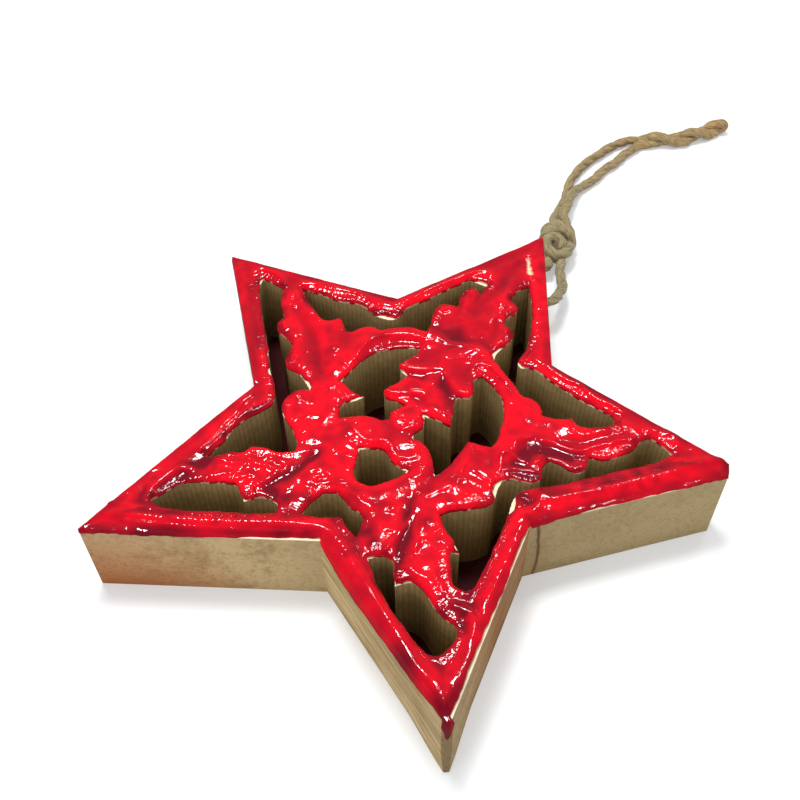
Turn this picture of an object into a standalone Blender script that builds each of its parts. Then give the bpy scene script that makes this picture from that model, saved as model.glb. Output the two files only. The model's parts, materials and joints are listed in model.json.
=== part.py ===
"""Wooden star ornament: a sawn board, a poured red coat and a hanging loop of twine.

The star lies on its back. The origin is the centre of the star on its back face, +Z points
out of the coated front, and the tip that hangs uppermost points to +Y. Units are metres.
"""
import math

import bmesh
import bpy
from mathutils import Matrix, Vector

# Sizes of the board and its coat
TIP_RADIUS = 0.0634
VALLEY_RADIUS = 0.0331
BOARD_THICKNESS = 0.018
COAT_THICKNESS = 0.0013
COAT_LAP = 0.0006
COAT_RUNDOWN = 0.0018

# Sizes of the twine, its hole and its knot
TWINE_DIAMETER = 0.0025
HOLE_CLEARANCE = 0.0017
HOLE_FROM_TIP = 0.0102
KNOT_WIDTH = 0.0092
KNOT_LENGTH = 0.0118
KNOT_HEIGHT = 0.0076
KNOT_RIDGE = 0.0005
KNOT_TURN = math.radians(20)
KNOT_FROM_HOLE = 0.0255
KNOT_TO_LEFT = 0.0018
KNOT_STRAND_SPREAD = 0.0032
KNOT_LEAD = 0.003
LYING_GAP = 0.0001
TWINE_TO_KNOT_GAP = 0.0003

# The pattern is drawn in units on a star whose tips and valleys lie at these radii
DRAWN_TIP_RADIUS = 75.0
DRAWN_VALLEY_RADIUS = 39.2

# Corners of the hand-sawn star, counter-clockwise from the hanging tip, tip and valley in turn
DRAWN_CORNERS = [
    (-0.9, 73.9), (-22.9, 32.4), (-70.4, 23.9), (-37.1, -10.8), (-45.0, -63.9),
    (1.2, -39.2), (45.0, -61.6), (37.8, -12.9), (72.5, 23.4), (21.8, 31.3),
]

# Width of the small flat that blunts each tip, in the order of the tips above
TIP_FLATS = [0.0005, 0.0004, 0.0005, 0.0016, 0.0032]

# A drawn point marked SHARP is a corner, and the curve is smooth through the others
SHARP = True
CURVE_STEPS = 2

# Inner edge of the star's band along each opening, counter-clockwise from the hanging tip
BAND_TOP_LEFT = [
    (-5.6, 49.0, SHARP), (-10.3, 49.0, SHARP), (-12.5, 45.0), (-16.5, 36.5), (-19.0, 31.8),
    (-19.6, 29.0), (-19.5, 27.2), (-20.6, 25.6), (-22.5, 25.0), (-25.0, 24.9), (-29.5, 26.1),
    (-32.0, 25.9), (-35.0, 24.7), (-40.0, 24.3), (-47.3, 23.5, SHARP),
]
BAND_LEFT = [
    (-51.0, 20.8, SHARP), (-52.5, 21.3), (-58.2, 21.3, SHARP), (-57.3, 18.4), (-54.0, 14.3),
    (-50.0, 9.5), (-42.3, 1.5), (-37.5, -4.3), (-33.0, -8.6), (-31.2, -11.0), (-30.4, -13.2),
    (-32.5, -19.0), (-33.6, -24.0), (-33.2, -27.0), (-34.1, -34.4, SHARP),
]
BAND_LOWER_LEFT = [
    (-34.6, -43.0, SHARP), (-36.3, -48.0), (-36.7, -49.6), (-35.5, -50.1), (-33.5, -49.9),
    (-28.0, -47.7), (-22.0, -44.6), (-16.5, -41.9), (-10.8, -38.4, SHARP),
]
BAND_BOTTOM = [
    (-6.1, -36.0, SHARP), (-3.0, -35.0), (2.0, -32.3, SHARP), (4.5, -34.0), (7.3, -34.7, SHARP),
]
BAND_LOWER_RIGHT = [
    (12.3, -37.9, SHARP), (15.5, -41.0), (21.0, -44.7), (27.0, -47.7), (32.5, -50.0),
    (34.0, -50.3), (35.6, -49.7), (36.9, -46.0), (36.9, -43.5), (36.0, -42.3, SHARP),
]
BAND_RIGHT = [
    (33.8, -34.3, SHARP), (34.6, -33.3), (34.6, -29.0), (34.0, -23.0), (32.9, -14.0),
    (31.7, -8.3), (32.3, -6.2), (37.0, -2.0), (42.0, 2.8), (50.5, 11.8), (54.5, 16.0),
    (57.0, 20.3, SHARP), (52.5, 22.1), (50.8, 22.2), (49.8, 21.3, SHARP),
]
BAND_TOP_RIGHT = [
    (42.6, 21.7, SHARP), (41.2, 24.2, SHARP), (32.0, 25.1), (23.0, 27.2), (17.2, 28.2),
    (15.6, 27.3), (14.4, 28.0), (14.0, 30.5), (14.2, 32.5), (12.9, 37.5), (11.0, 43.0),
    (8.0, 48.8), (4.2, 54.8, SHARP),
]

# Edges of the fretwork along the same openings
PALMETTE_LEFT = [
    (-10.3, 25.9, SHARP), (-10.7, 28.0), (-12.4, 33.5), (-12.7, 35.2), (-11.8, 36.9),
    (-10.2, 37.8), (-8.0, 38.0, SHARP), (-8.3, 39.5), (-9.4, 43.0), (-9.1, 45.1), (-7.3, 46.3),
    (-5.2, 45.0, SHARP), (-5.0, 47.0), (-5.6, 49.0, SHARP),
]
PALMETTE_RIGHT = [
    (4.2, 54.8, SHARP), (3.0, 52.5), (2.4, 48.6), (2.8, 46.8, SHARP), (5.1, 46.0), (5.9, 44.6),
    (5.2, 42.0), (4.7, 40.0), (5.0, 38.2, SHARP), (7.0, 37.8), (8.8, 36.5), (9.2, 34.5),
    (8.5, 30.5), (8.2, 28.5), (8.8, 25.8, SHARP),
]
SIDE_LEAF_LEFT_TOP = [
    (-47.3, 23.5, SHARP), (-43.0, 20.3), (-38.0, 17.4), (-35.3, 16.5), (-33.5, 17.2),
    (-32.0, 19.0), (-30.5, 18.0), (-28.3, 15.9, SHARP), (-27.0, 16.4), (-25.5, 18.5),
    (-22.8, 20.6), (-20.5, 20.2, SHARP), (-18.5, 22.5), (-14.5, 25.1), (-10.3, 25.9, SHARP),
]
SIDE_LEAF_RIGHT_TOP = [
    (8.8, 25.8, SHARP), (12.0, 24.0), (16.0, 21.6), (19.5, 19.1, SHARP), (23.5, 19.0),
    (25.1, 18.2), (26.8, 15.7, SHARP), (30.0, 16.4), (33.1, 18.6, SHARP), (35.6, 17.3),
    (38.0, 18.0), (42.6, 21.7, SHARP),
]
SIDE_LEAF_LEFT_UNDER = [
    (-51.0, 20.8, SHARP), (-49.5, 17.5), (-46.3, 13.9), (-44.7, 12.3), (-45.0, 10.0),
    (-42.8, 7.2), (-39.5, 6.3), (-37.2, 4.9), (-36.5, 2.5), (-35.6, -0.3), (-34.0, -1.6),
    (-30.0, -2.2), (-24.5, -5.3, SHARP),
]
SIDE_LEAF_RIGHT_UNDER = [
    (49.8, 21.3, SHARP), (48.8, 17.8), (46.5, 13.2), (44.0, 11.2), (41.2, 10.0, SHARP),
    (41.8, 7.0), (41.0, 4.9), (36.0, 5.1), (33.8, 4.4), (33.3, 2.5), (34.4, -1.2),
    (33.2, -2.8), (28.5, -4.2), (27.4, -5.5, SHARP),
]
PETAL_LEFT = [
    (-24.5, -5.3, SHARP), (-27.3, -7.0), (-28.2, -9.5), (-27.6, -12.9), (-25.0, -15.5),
    (-22.0, -17.0), (-18.2, -20.2), (-16.9, -22.5, SHARP),
]
PETAL_RIGHT = [
    (27.4, -5.5, SHARP), (27.4, -8.0), (28.1, -11.5), (26.8, -14.0), (24.0, -16.5),
    (20.6, -19.2), (19.8, -20.7, SHARP),
]
LOWER_LEAF_LEFT_TOP = [
    (-16.9, -22.5, SHARP), (-20.5, -24.6), (-25.0, -25.6), (-26.4, -26.6, SHARP),
    (-27.0, -28.6), (-29.5, -30.0), (-31.8, -32.3), (-34.1, -34.4, SHARP),
]
LOWER_LEAF_RIGHT_TOP = [
    (19.8, -20.7, SHARP), (22.0, -22.8), (25.0, -24.7), (28.2, -27.0, SHARP),
    (26.4, -27.8, SHARP), (29.0, -32.0), (31.2, -34.4), (33.8, -34.3, SHARP),
]
LOWER_LEAF_LEFT_UNDER = [
    (-34.6, -43.0, SHARP), (-32.0, -41.0), (-27.0, -38.3), (-23.5, -36.8), (-21.3, -37.6),
    (-19.0, -39.4, SHARP), (-17.0, -37.0), (-14.3, -36.0), (-12.0, -36.5), (-10.8, -38.4, SHARP),
]
LOWER_LEAF_RIGHT_UNDER = [
    (36.0, -42.3, SHARP), (32.0, -41.5), (28.0, -39.5), (24.5, -38.0), (23.0, -38.1),
    (20.5, -40.6, SHARP), (18.8, -38.0), (17.3, -35.8), (15.3, -35.3), (12.3, -37.9, SHARP),
]
RING_BOTTOM = [
    (7.3, -34.7, SHARP), (7.1, -32.5), (5.3, -29.2), (2.0, -28.9), (-2.0, -27.2), (-5.0, -28.6),
    (-6.1, -31.5), (-6.1, -36.0, SHARP),
]

# Edges of the openings that lie wholly inside the fretwork
ARCH_INNER_LEFT = [
    (-9.0, 20.2, SHARP), (-12.0, 19.0), (-16.5, 15.5), (-18.6, 12.5), (-19.6, 7.0),
    (-20.0, 1.3, SHARP),
]
ARCH_INNER_RIGHT = [
    (8.8, 20.0, SHARP), (11.0, 19.2), (15.5, 16.5), (18.2, 13.0), (20.4, 7.0), (21.2, 3.0),
    (20.9, 1.3, SHARP),
]
RING_TOP_LEFT = [
    (-20.0, 1.3, SHARP), (-16.0, -0.2), (-12.6, -0.1, SHARP), (-13.8, -2.3), (-15.3, -4.0),
    (-15.4, -6.5), (-13.8, -9.2, SHARP), (-11.0, -6.7), (-8.0, -5.0), (-4.7, -4.5, SHARP),
]
RING_TOP_RIGHT = [
    (20.9, 1.3, SHARP), (19.0, 0.6), (15.5, 0.1, SHARP), (15.3, -5.0), (14.7, -10.0),
    (13.6, -11.8), (12.3, -10.5), (10.0, -7.6), (7.0, -5.7), (4.0, -5.1, SHARP),
]
CENTRE_LEAF_LEFT = [
    (-4.7, -4.5, SHARP), (-3.8, -3.4), (-4.3, -1.8), (-3.0, 1.0), (-2.3, 2.8, SHARP),
    (-5.5, 2.3), (-8.5, 2.5), (-9.4, 3.8), (-7.8, 7.2), (-7.2, 10.9, SHARP), (-9.6, 11.7),
    (-10.4, 13.0), (-8.4, 18.0), (-9.0, 20.2, SHARP),
]
CENTRE_LEAF_RIGHT = [
    (4.0, -5.1, SHARP), (3.5, -4.0), (4.4, -1.6), (3.0, 1.8, SHARP), (6.5, 2.3),
    (9.5, 2.4, SHARP), (8.3, 6.0), (6.7, 9.6), (7.0, 11.0, SHARP), (9.4, 12.2), (9.5, 13.6),
    (7.6, 17.5), (8.8, 20.0, SHARP),
]
RING_HOLE = [
    (-4.9, -14.2, SHARP), (-3.0, -12.8), (0.0, -11.8), (2.5, -13.0), (4.0, -13.8),
    (7.5, -14.1, SHARP), (7.2, -16.5), (5.0, -19.5), (2.5, -22.2), (0.7, -22.6),
    (-1.5, -21.8), (-3.3, -18.5), (-4.9, -14.2, SHARP),
]

# Route of the twine each way from its hole to the knot, chosen by hand: millimetres to the
# right of the hole and towards the knot, and the share of the way down to the knot's height
STRAND_RIGHT = [
    (0.0, 0.0, 0.0), (3.2, 0.0, 0.0), (5.4, 0.1, 0.0), (6.9, 0.8, 0.03), (7.5, 2.2, 0.1),
    (7.5, 4.2, 0.24), (7.1, 6.9, 0.45), (6.5, 10.3, 0.68), (4.8, 13.8, 0.84), (2.9, 17.2, 0.95),
]
STRAND_LEFT = [
    (-3.2, 0.0, 0.0), (-5.4, 0.1, 0.0), (-6.9, 0.8, 0.03), (-7.5, 2.2, 0.1), (-7.5, 4.2, 0.24),
    (-7.0, 7.0, 0.46), (-6.2, 10.4, 0.7), (-4.2, 13.8, 0.86), (-2.2, 16.4, 0.96),
]


# Route of the hanging loop, chosen by hand: millimetres from the hole as above, and the
# height of the twine above where it lies on the surface
LOOP_OUTWARD = [
    (-7.4, 35.6, 1.9), (-8.2, 41.0, 0.8), (-9.4, 47.9, 0.0), (-11.2, 54.6, 0.0),
    (-11.5, 61.8, 0.0), (-10.8, 66.6, 0.0), (-9.5, 71.2, 0.0), (-8.5, 75.0, 0.0),
    (-6.9, 78.4, 0.0), (-4.9, 81.4, 0.0),
]
LOOP_HOMEWARD = [
    (-2.3, 78.2, 0.0), (-3.4, 74.2, 0.0), (-4.1, 69.4, 0.0), (-5.5, 64.8, 0.0),
    (-6.3, 58.5, 0.0), (-7.2, 53.2, 0.2), (-6.8, 47.6, 1.3), (-5.4, 41.6, 2.1),
    (-4.0, 36.4, 2.5),
]
TWIST_CENTRE = [
    (-1.5, 82.2), (1.2, 83.9), (4.2, 86.3), (7.3, 88.3), (9.8, 90.8), (11.4, 94.0),
    (13.4, 97.0), (15.8, 100.0),
]
TWIST_TURNS = 1.25
TWIST_GAP = 0.0004
TWIST_POINTS = 12
BEND_POINTS = 4
STRAND_SPACING = 0.0021
LOOP_SPACING = 0.0048

# How finely the round pieces are drawn, and how the knot's ridges wind
MILLIMETRE = 0.001
SAME_PLACE = 1e-7
ROUNDING = 1e-9
DRILL_SIDES = 24
TWINE_BEVEL_STEPS = 2
KNOT_SIDES = 24
KNOT_RINGS = 14
KNOT_RIDGES = 2
KNOT_RIDGE_WIND = 5.0

# Colours, as linear red, green and blue, with roughness
WOOD_TAN = ((0.50, 0.38, 0.20), 0.70)
COAT_RED = ((0.80, 0.010, 0.020), 0.12)
TWINE_BUFF = ((0.36, 0.28, 0.15), 0.90)


def clear_scene():
    """Remove every object of the scene that the script is run in."""
    for item in list(bpy.data.objects):
        bpy.data.objects.remove(item, do_unlink=True)


def finish(name, colour, roughness):
    """A Principled material with a plain colour."""
    material = bpy.data.materials.new(name)
    material.use_nodes = True
    shader = material.node_tree.nodes["Principled BSDF"]
    shader.inputs["Base Color"].default_value = (*colour, 1.0)
    shader.inputs["Roughness"].default_value = roughness
    material.diffuse_color = (*colour, 1.0)
    return material


def add_object(name, data, material):
    """Link an object to the scene under its own name and material."""
    data.materials.append(material)
    item = bpy.data.objects.new(name, data)
    bpy.context.scene.collection.objects.link(item)
    return item


def real_corner(index):
    """A drawn corner of the star at the real tip or valley radius."""
    drawn = Vector(DRAWN_CORNERS[index])
    if index % 2 == 0:
        return drawn * (TIP_RADIUS / DRAWN_TIP_RADIUS)
    return drawn * (VALLEY_RADIUS / DRAWN_VALLEY_RADIUS)


def placed(point):
    """Carry a drawn point to the real star, sector by sector between a tip and a valley."""
    count = len(DRAWN_CORNERS)
    for index in range(count):
        a = Vector(DRAWN_CORNERS[index])
        b = Vector(DRAWN_CORNERS[(index + 1) % count])
        area = a.x * b.y - a.y * b.x
        along_a = (point[0] * b.y - point[1] * b.x) / area
        along_b = (a.x * point[1] - a.y * point[0]) / area
        if along_a >= -ROUNDING and along_b >= -ROUNDING:
            return real_corner(index) * along_a + real_corner((index + 1) % count) * along_b
    return Vector((0.0, 0.0))


def heading(before, point, after):
    """Direction of a smooth curve at a point, from its neighbours and their distances."""
    near = (point - before).length
    far = (after - point).length
    if near == 0.0:
        return (after - point) / far
    if far == 0.0:
        return (point - before) / near
    return ((point - before) * (far / near) + (after - point) * (near / far)) / (near + far)


def spline_point(before, start, end, after, t):
    """A point on the smooth curve from start to end, at the share t of the way."""
    length = (end - start).length
    pull_in = heading(before, start, end) * length
    pull_out = heading(start, end, after) * length
    square = t * t
    cube = square * t
    return (start * (2 * cube - 3 * square + 1) + pull_in * (cube - 2 * square + t)
            + end * (3 * square - 2 * cube) + pull_out * (cube - square))


def drawn_curve(run):
    """Real points along a drawn run: smooth between its sharp corners."""
    points = [placed(item[:2]) for item in run]
    sharp = [len(item) > 2 for item in run]
    curve = []
    for index in range(len(points) - 1):
        start = points[index]
        end = points[index + 1]
        before = start if sharp[index] else points[index - 1]
        after = end if sharp[index + 1] else points[index + 2]
        for step in range(CURVE_STEPS):
            curve.append(spline_point(before, start, end, after, step / CURVE_STEPS))
    curve.append(points[-1])
    return curve


def joined(*runs):
    """One closed outline from curves that are given in order, without repeated points."""
    outline = []
    for run in runs:
        for point in run:
            if not outline or (point - outline[-1]).length > SAME_PLACE:
                outline.append(point)
    if (outline[0] - outline[-1]).length < SAME_PLACE:
        outline.pop()
    return outline


def backward(run):
    """The curve of a drawn run from its far end to its near end."""
    return list(reversed(drawn_curve(run)))


def star_outline():
    """Outer outline of the board, with each tip blunted by its small flat."""
    outline = []
    count = len(DRAWN_CORNERS)
    for index in range(count):
        corner = real_corner(index)
        if index % 2:
            outline.append(corner)
            continue
        before = real_corner(index - 1)
        after = real_corner((index + 1) % count)
        half_width = TIP_FLATS[index // 2] / 2
        mid_valley = (before + after) / 2
        half_angle = (before - corner).angle(mid_valley - corner)
        side = half_width / math.sin(half_angle)
        outline.append(corner + (before - corner).normalized() * side)
        outline.append(corner + (after - corner).normalized() * side)
    return outline


def grown(outline, distance):
    """The outline with each straight side moved outward by a distance."""
    count = len(outline)
    sides = []
    for index in range(count):
        a = outline[index]
        b = outline[(index + 1) % count]
        along = (b - a).normalized()
        outward = Vector((along.y, -along.x)) * distance
        sides.append((a + outward, b + outward))
    corners = []
    for index in range(count):
        a, b = sides[index - 1]
        c, d = sides[index]
        corners.append(line_crossing(a, b, c, d))
    return corners


def line_crossing(a, b, c, d):
    """Where the endless line through a and b meets the one through c and d."""
    first = b - a
    second = d - c
    across = first.x * second.y - first.y * second.x
    share = ((c.x - a.x) * second.y - (c.y - a.y) * second.x) / across
    return a + first * share


def ring(shape, outline, height):
    """Corners of a closed outline at a height, joined by edges."""
    corners = [shape.verts.new((point.x, point.y, height)) for point in outline]
    for index, corner in enumerate(corners):
        shape.edges.new((corner, corners[(index + 1) % len(corners)]))
    return corners


def wall(shape, lower, upper):
    """The wall between two rings of as many corners."""
    for index in range(len(lower)):
        after = (index + 1) % len(lower)
        shape.faces.new((lower[index], lower[after], upper[after], upper[index]))


def cap(shape, rings):
    """A flat face inside the first ring and outside the others."""
    edges = []
    for corners in rings:
        for index, corner in enumerate(corners):
            edges.append(shape.edges.get((corner, corners[(index + 1) % len(corners)])))
    bmesh.ops.triangle_fill(shape, use_beauty=True, use_dissolve=False, edges=edges)


def closed_mesh(name, shape):
    """A mesh of the finished shape with its faces pointing out."""
    bmesh.ops.recalc_face_normals(shape, faces=list(shape.faces))
    mesh = bpy.data.meshes.new(name)
    shape.to_mesh(mesh)
    shape.free()
    return mesh


def sawn_piece(name, outline, holes, material):
    """A piece of the board, sawn square through its whole thickness."""
    shape = bmesh.new()
    loops = [outline] + holes
    lower = [ring(shape, loop, 0.0) for loop in loops]
    upper = [ring(shape, loop, BOARD_THICKNESS) for loop in loops]
    for below, above in zip(lower, upper):
        wall(shape, below, above)
    cap(shape, lower)
    cap(shape, upper)
    return add_object(name, closed_mesh(name, shape), material)


def band_inner_outline():
    """Inner outline of the star's band: its openings' edges, closed across the stems."""
    return joined(
        drawn_curve(BAND_TOP_LEFT), drawn_curve(BAND_LEFT), drawn_curve(BAND_LOWER_LEFT),
        drawn_curve(BAND_BOTTOM), drawn_curve(BAND_LOWER_RIGHT), drawn_curve(BAND_RIGHT),
        drawn_curve(BAND_TOP_RIGHT),
    )


def star_frame(material):
    """The star's band with its solid tips and the hole for the twine."""
    frame = sawn_piece("star_frame", star_outline(), [band_inner_outline()], material)
    bore = frame.modifiers.new("twine_hole", "BOOLEAN")
    bore.operation = "DIFFERENCE"
    bore.solver = "EXACT"
    bore.object = twine_drill()
    return frame


def hole_centre():
    """Centre of the twine's hole: inside the hanging tip, halfway through the board."""
    tip = real_corner(0)
    return Vector((tip.x, tip.y - HOLE_FROM_TIP, BOARD_THICKNESS / 2))


def twine_drill():
    """The cutter of the hole that runs across the hanging tip."""
    shape = bmesh.new()
    radius = (TWINE_DIAMETER + HOLE_CLEARANCE) / 2
    bmesh.ops.create_cone(
        shape, cap_ends=True, segments=DRILL_SIDES, radius1=radius, radius2=radius,
        depth=TIP_RADIUS)
    mesh = bpy.data.meshes.new("twine_drill")
    shape.to_mesh(mesh)
    shape.free()
    drill = bpy.data.objects.new("twine_drill", mesh)
    bpy.context.scene.collection.objects.link(drill)
    drill.location = hole_centre()
    drill.rotation_euler = (0.0, math.pi / 2, 0.0)
    drill.hide_render = True
    drill.display_type = "WIRE"
    return drill


def top_palmette(material):
    """The lobed leaf in the hanging arm, from the solid tip down to the arch."""
    outline = joined(drawn_curve(PALMETTE_LEFT), drawn_curve(PALMETTE_RIGHT))
    return sawn_piece("top_palmette", outline, [], material)


def arch_with_side_leaves(material):
    """The arch and the leaf that it throws into each side arm."""
    outline = joined(
        drawn_curve(SIDE_LEAF_LEFT_TOP), drawn_curve(SIDE_LEAF_RIGHT_TOP),
        drawn_curve(SIDE_LEAF_RIGHT_UNDER), backward(ARCH_INNER_RIGHT),
        drawn_curve(ARCH_INNER_LEFT), backward(SIDE_LEAF_LEFT_UNDER),
    )
    return sawn_piece("arch_with_side_leaves", outline, [], material)


def centre_leaf(material):
    """The two-tiered leaf that hangs from the arch's crown and ends in a bud."""
    outline = joined(drawn_curve(CENTRE_LEAF_LEFT), backward(CENTRE_LEAF_RIGHT))
    return sawn_piece("centre_leaf", outline, [], material)


def ring_with_lower_leaves(material):
    """The ring, the petal on each side of it and the leaves of the lower arms."""
    outline = joined(
        backward(RING_TOP_LEFT), drawn_curve(PETAL_LEFT), drawn_curve(LOWER_LEAF_LEFT_TOP),
        drawn_curve(LOWER_LEAF_LEFT_UNDER), backward(RING_BOTTOM),
        backward(LOWER_LEAF_RIGHT_UNDER), backward(LOWER_LEAF_RIGHT_TOP),
        backward(PETAL_RIGHT), drawn_curve(RING_TOP_RIGHT),
    )
    ring_hole = joined(drawn_curve(RING_HOLE))
    return sawn_piece("ring_with_lower_leaves", outline, [ring_hole], material)


def openings():
    """Closed outlines of the ten openings that the coat leaves free."""
    return [
        joined(drawn_curve(BAND_TOP_LEFT), drawn_curve(SIDE_LEAF_LEFT_TOP),
               drawn_curve(PALMETTE_LEFT)),
        joined(drawn_curve(BAND_LEFT), backward(LOWER_LEAF_LEFT_TOP), backward(PETAL_LEFT),
               backward(SIDE_LEAF_LEFT_UNDER)),
        joined(drawn_curve(BAND_LOWER_LEFT), backward(LOWER_LEAF_LEFT_UNDER)),
        joined(drawn_curve(BAND_BOTTOM), drawn_curve(RING_BOTTOM)),
        joined(drawn_curve(BAND_LOWER_RIGHT), drawn_curve(LOWER_LEAF_RIGHT_UNDER)),
        joined(drawn_curve(BAND_RIGHT), drawn_curve(SIDE_LEAF_RIGHT_UNDER),
               drawn_curve(PETAL_RIGHT), drawn_curve(LOWER_LEAF_RIGHT_TOP)),
        joined(drawn_curve(BAND_TOP_RIGHT), drawn_curve(PALMETTE_RIGHT),
               drawn_curve(SIDE_LEAF_RIGHT_TOP)),
        joined(drawn_curve(ARCH_INNER_LEFT), drawn_curve(RING_TOP_LEFT),
               drawn_curve(CENTRE_LEAF_LEFT)),
        joined(drawn_curve(ARCH_INNER_RIGHT), drawn_curve(RING_TOP_RIGHT),
               drawn_curve(CENTRE_LEAF_RIGHT)),
        joined(drawn_curve(RING_HOLE)),
    ]


def red_coat(material):
    """The poured coat: a plate over the whole front, with a rim down the outer walls."""
    shape = bmesh.new()
    edge = star_outline()
    lapped = grown(edge, COAT_LAP)
    front = BOARD_THICKNESS + COAT_THICKNESS
    rim = BOARD_THICKNESS - COAT_RUNDOWN
    outer_top = ring(shape, lapped, front)
    outer_low = ring(shape, lapped, rim)
    inner_low = ring(shape, edge, rim)
    inner_top = ring(shape, edge, BOARD_THICKNESS)
    wall(shape, outer_low, outer_top)
    wall(shape, outer_low, inner_low)
    wall(shape, inner_low, inner_top)
    front_holes = [ring(shape, loop, front) for loop in openings()]
    back_holes = [ring(shape, loop, BOARD_THICKNESS) for loop in openings()]
    for below, above in zip(back_holes, front_holes):
        wall(shape, below, above)
    cap(shape, [outer_top] + front_holes)
    cap(shape, [inner_top] + back_holes)
    return add_object("red_coat", closed_mesh("red_coat", shape), material)


def hanger_pivot():
    """The line across the hanging tip that the twine swings about, at its hole."""
    pivot = bpy.data.objects.new("hanger_pivot", None)
    bpy.context.scene.collection.objects.link(pivot)
    pivot.location = hole_centre()
    return pivot


def lying_height():
    """Height of the twine's centreline from the hole's centre, where it lies on the surface."""
    return TWINE_DIAMETER / 2 + LYING_GAP - BOARD_THICKNESS / 2


def knot_frame():
    """Place of the knot from the hole's centre, with +Y along the twine away from the star."""
    height = KNOT_HEIGHT / 2 + LYING_GAP - BOARD_THICKNESS / 2
    place = Matrix.Translation((-KNOT_TO_LEFT, KNOT_FROM_HOLE, height))
    return place @ Matrix.Rotation(KNOT_TURN, 4, "Z")


def knot_port(side, end, away=0.0):
    """Where a strand leaves the knot: side and end are -1 or 1, away is along the strand."""
    reach = KNOT_LENGTH / 2 + KNOT_RIDGE + TWINE_TO_KNOT_GAP + away
    return knot_frame() @ Vector((side * KNOT_STRAND_SPREAD / 2, end * reach, 0.0))


def smooth_route(points, spacing):
    """A smooth route through its points, with a point about every spacing."""
    route = []
    last = len(points) - 1
    for index in range(last):
        start = points[index]
        end = points[index + 1]
        before = points[max(index - 1, 0)]
        after = points[min(index + 2, last)]
        steps = max(1, round((end - start).length / spacing))
        for step in range(steps):
            route.append(spline_point(before, start, end, after, step / steps))
    route.append(points[last])
    return route


def twine(name, route, material, pivot):
    """A length of twine along a route that is given from the pivot."""
    data = bpy.data.curves.new(name, "CURVE")
    data.dimensions = "3D"
    data.bevel_depth = TWINE_DIAMETER / 2
    data.bevel_resolution = TWINE_BEVEL_STEPS
    data.use_fill_caps = True
    spline = data.splines.new("POLY")
    spline.points.add(len(route) - 1)
    for slot, point in zip(spline.points, route):
        slot.co = (*point, 1.0)
    item = add_object(name, data, material)
    item.parent = pivot
    return item


def strand_points(drawn):
    """Points of a strand between the hole and the knot, from its drawn route."""
    drop = knot_frame().translation.z
    return [Vector((x * MILLIMETRE, y * MILLIMETRE, share * drop)) for x, y, share in drawn]


def tip_strand(material, pivot):
    """The twine from the knot through the hole and back to the knot."""
    left = [knot_port(-1, -1), knot_port(-1, -1, TWINE_DIAMETER / 2)]
    right = [knot_port(1, -1, TWINE_DIAMETER / 2), knot_port(1, -1)]
    points = left + list(reversed(strand_points(STRAND_LEFT))) + strand_points(STRAND_RIGHT)
    return twine("tip_strand", smooth_route(points + right, STRAND_SPACING), material, pivot)


def loop_points(drawn):
    """Points of the loop's open part, from its drawn route."""
    rest = Vector((0.0, 0.0, lying_height()))
    return [Vector(place) * MILLIMETRE + rest for place in drawn]


def twisted_strand(side):
    """One of the two strands of the loop's twisted end, from the twist's start to its end."""
    drawn = [Vector(place) * MILLIMETRE for place in TWIST_CENTRE]
    centre = smooth_route(drawn, LOOP_SPACING)
    radius = (TWINE_DIAMETER + TWIST_GAP) / 2
    strand = []
    for index in range(TWIST_POINTS):
        share = index / (TWIST_POINTS - 1)
        at = share * (len(centre) - 1)
        low = min(int(at), len(centre) - 2)
        point = centre[low].lerp(centre[low + 1], at - low)
        along = (centre[low + 1] - centre[low]).normalized()
        angle = 2 * math.pi * TWIST_TURNS * share
        sideways = side * radius * math.cos(angle)
        lift = radius * (abs(math.sin(angle)) + side * math.sin(angle))
        strand.append(Vector((
            point.x - along.y * sideways, point.y + along.x * sideways, lying_height() + lift)))
    return strand


def end_bend(start, finish, before):
    """The half turn in which the twine comes back at the loop's far end."""
    centre = (start + finish) / 2
    across = start - centre
    ahead = (start - before).normalized() * across.length
    bend = []
    for index in range(1, BEND_POINTS):
        angle = math.pi * index / BEND_POINTS
        bend.append(centre + across * math.cos(angle) + ahead * math.sin(angle))
    return bend


def hanging_loop(material, pivot):
    """The loop of twine from the knot out to its twisted end and back."""
    outward = [knot_port(-1, 1), knot_port(-1, 1, KNOT_LEAD)] + loop_points(LOOP_OUTWARD)
    homeward = loop_points(LOOP_HOMEWARD) + [knot_port(1, 1, KNOT_LEAD), knot_port(1, 1)]
    above = twisted_strand(1)
    below = twisted_strand(-1)
    bend = end_bend(above[-1], below[-1], above[-2])
    points = outward + above + bend + list(reversed(below)) + homeward
    return twine("hanging_loop", smooth_route(points, LOOP_SPACING), material, pivot)


def loop_knot(material, pivot):
    """The knot: a full, lobed lump whose ridges follow the turns of the twine."""
    shape = bmesh.new()
    bmesh.ops.create_uvsphere(shape, u_segments=KNOT_SIDES, v_segments=KNOT_RINGS, radius=1.0)
    half = Vector((KNOT_WIDTH / 2, KNOT_LENGTH / 2, KNOT_HEIGHT / 2))
    shape.transform(Matrix.Rotation(math.pi / 2, 4, "X"))
    for corner in shape.verts:
        round_angle = math.atan2(corner.co.z, corner.co.x)
        fade = 1.0 - corner.co.y * corner.co.y
        wave = math.sin(KNOT_RIDGES * round_angle + KNOT_RIDGE_WIND * corner.co.y)
        ridge = 1.0 - KNOT_RIDGE / half.x * fade * (1.0 + wave)
        corner.co = Vector((
            corner.co.x * half.x * ridge, corner.co.y * half.y, corner.co.z * half.z * ridge))
    mesh = closed_mesh("loop_knot", shape)
    mesh.shade_smooth()
    knot = add_object("loop_knot", mesh, material)
    knot.parent = pivot
    knot.matrix_local = knot_frame()
    return knot


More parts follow.
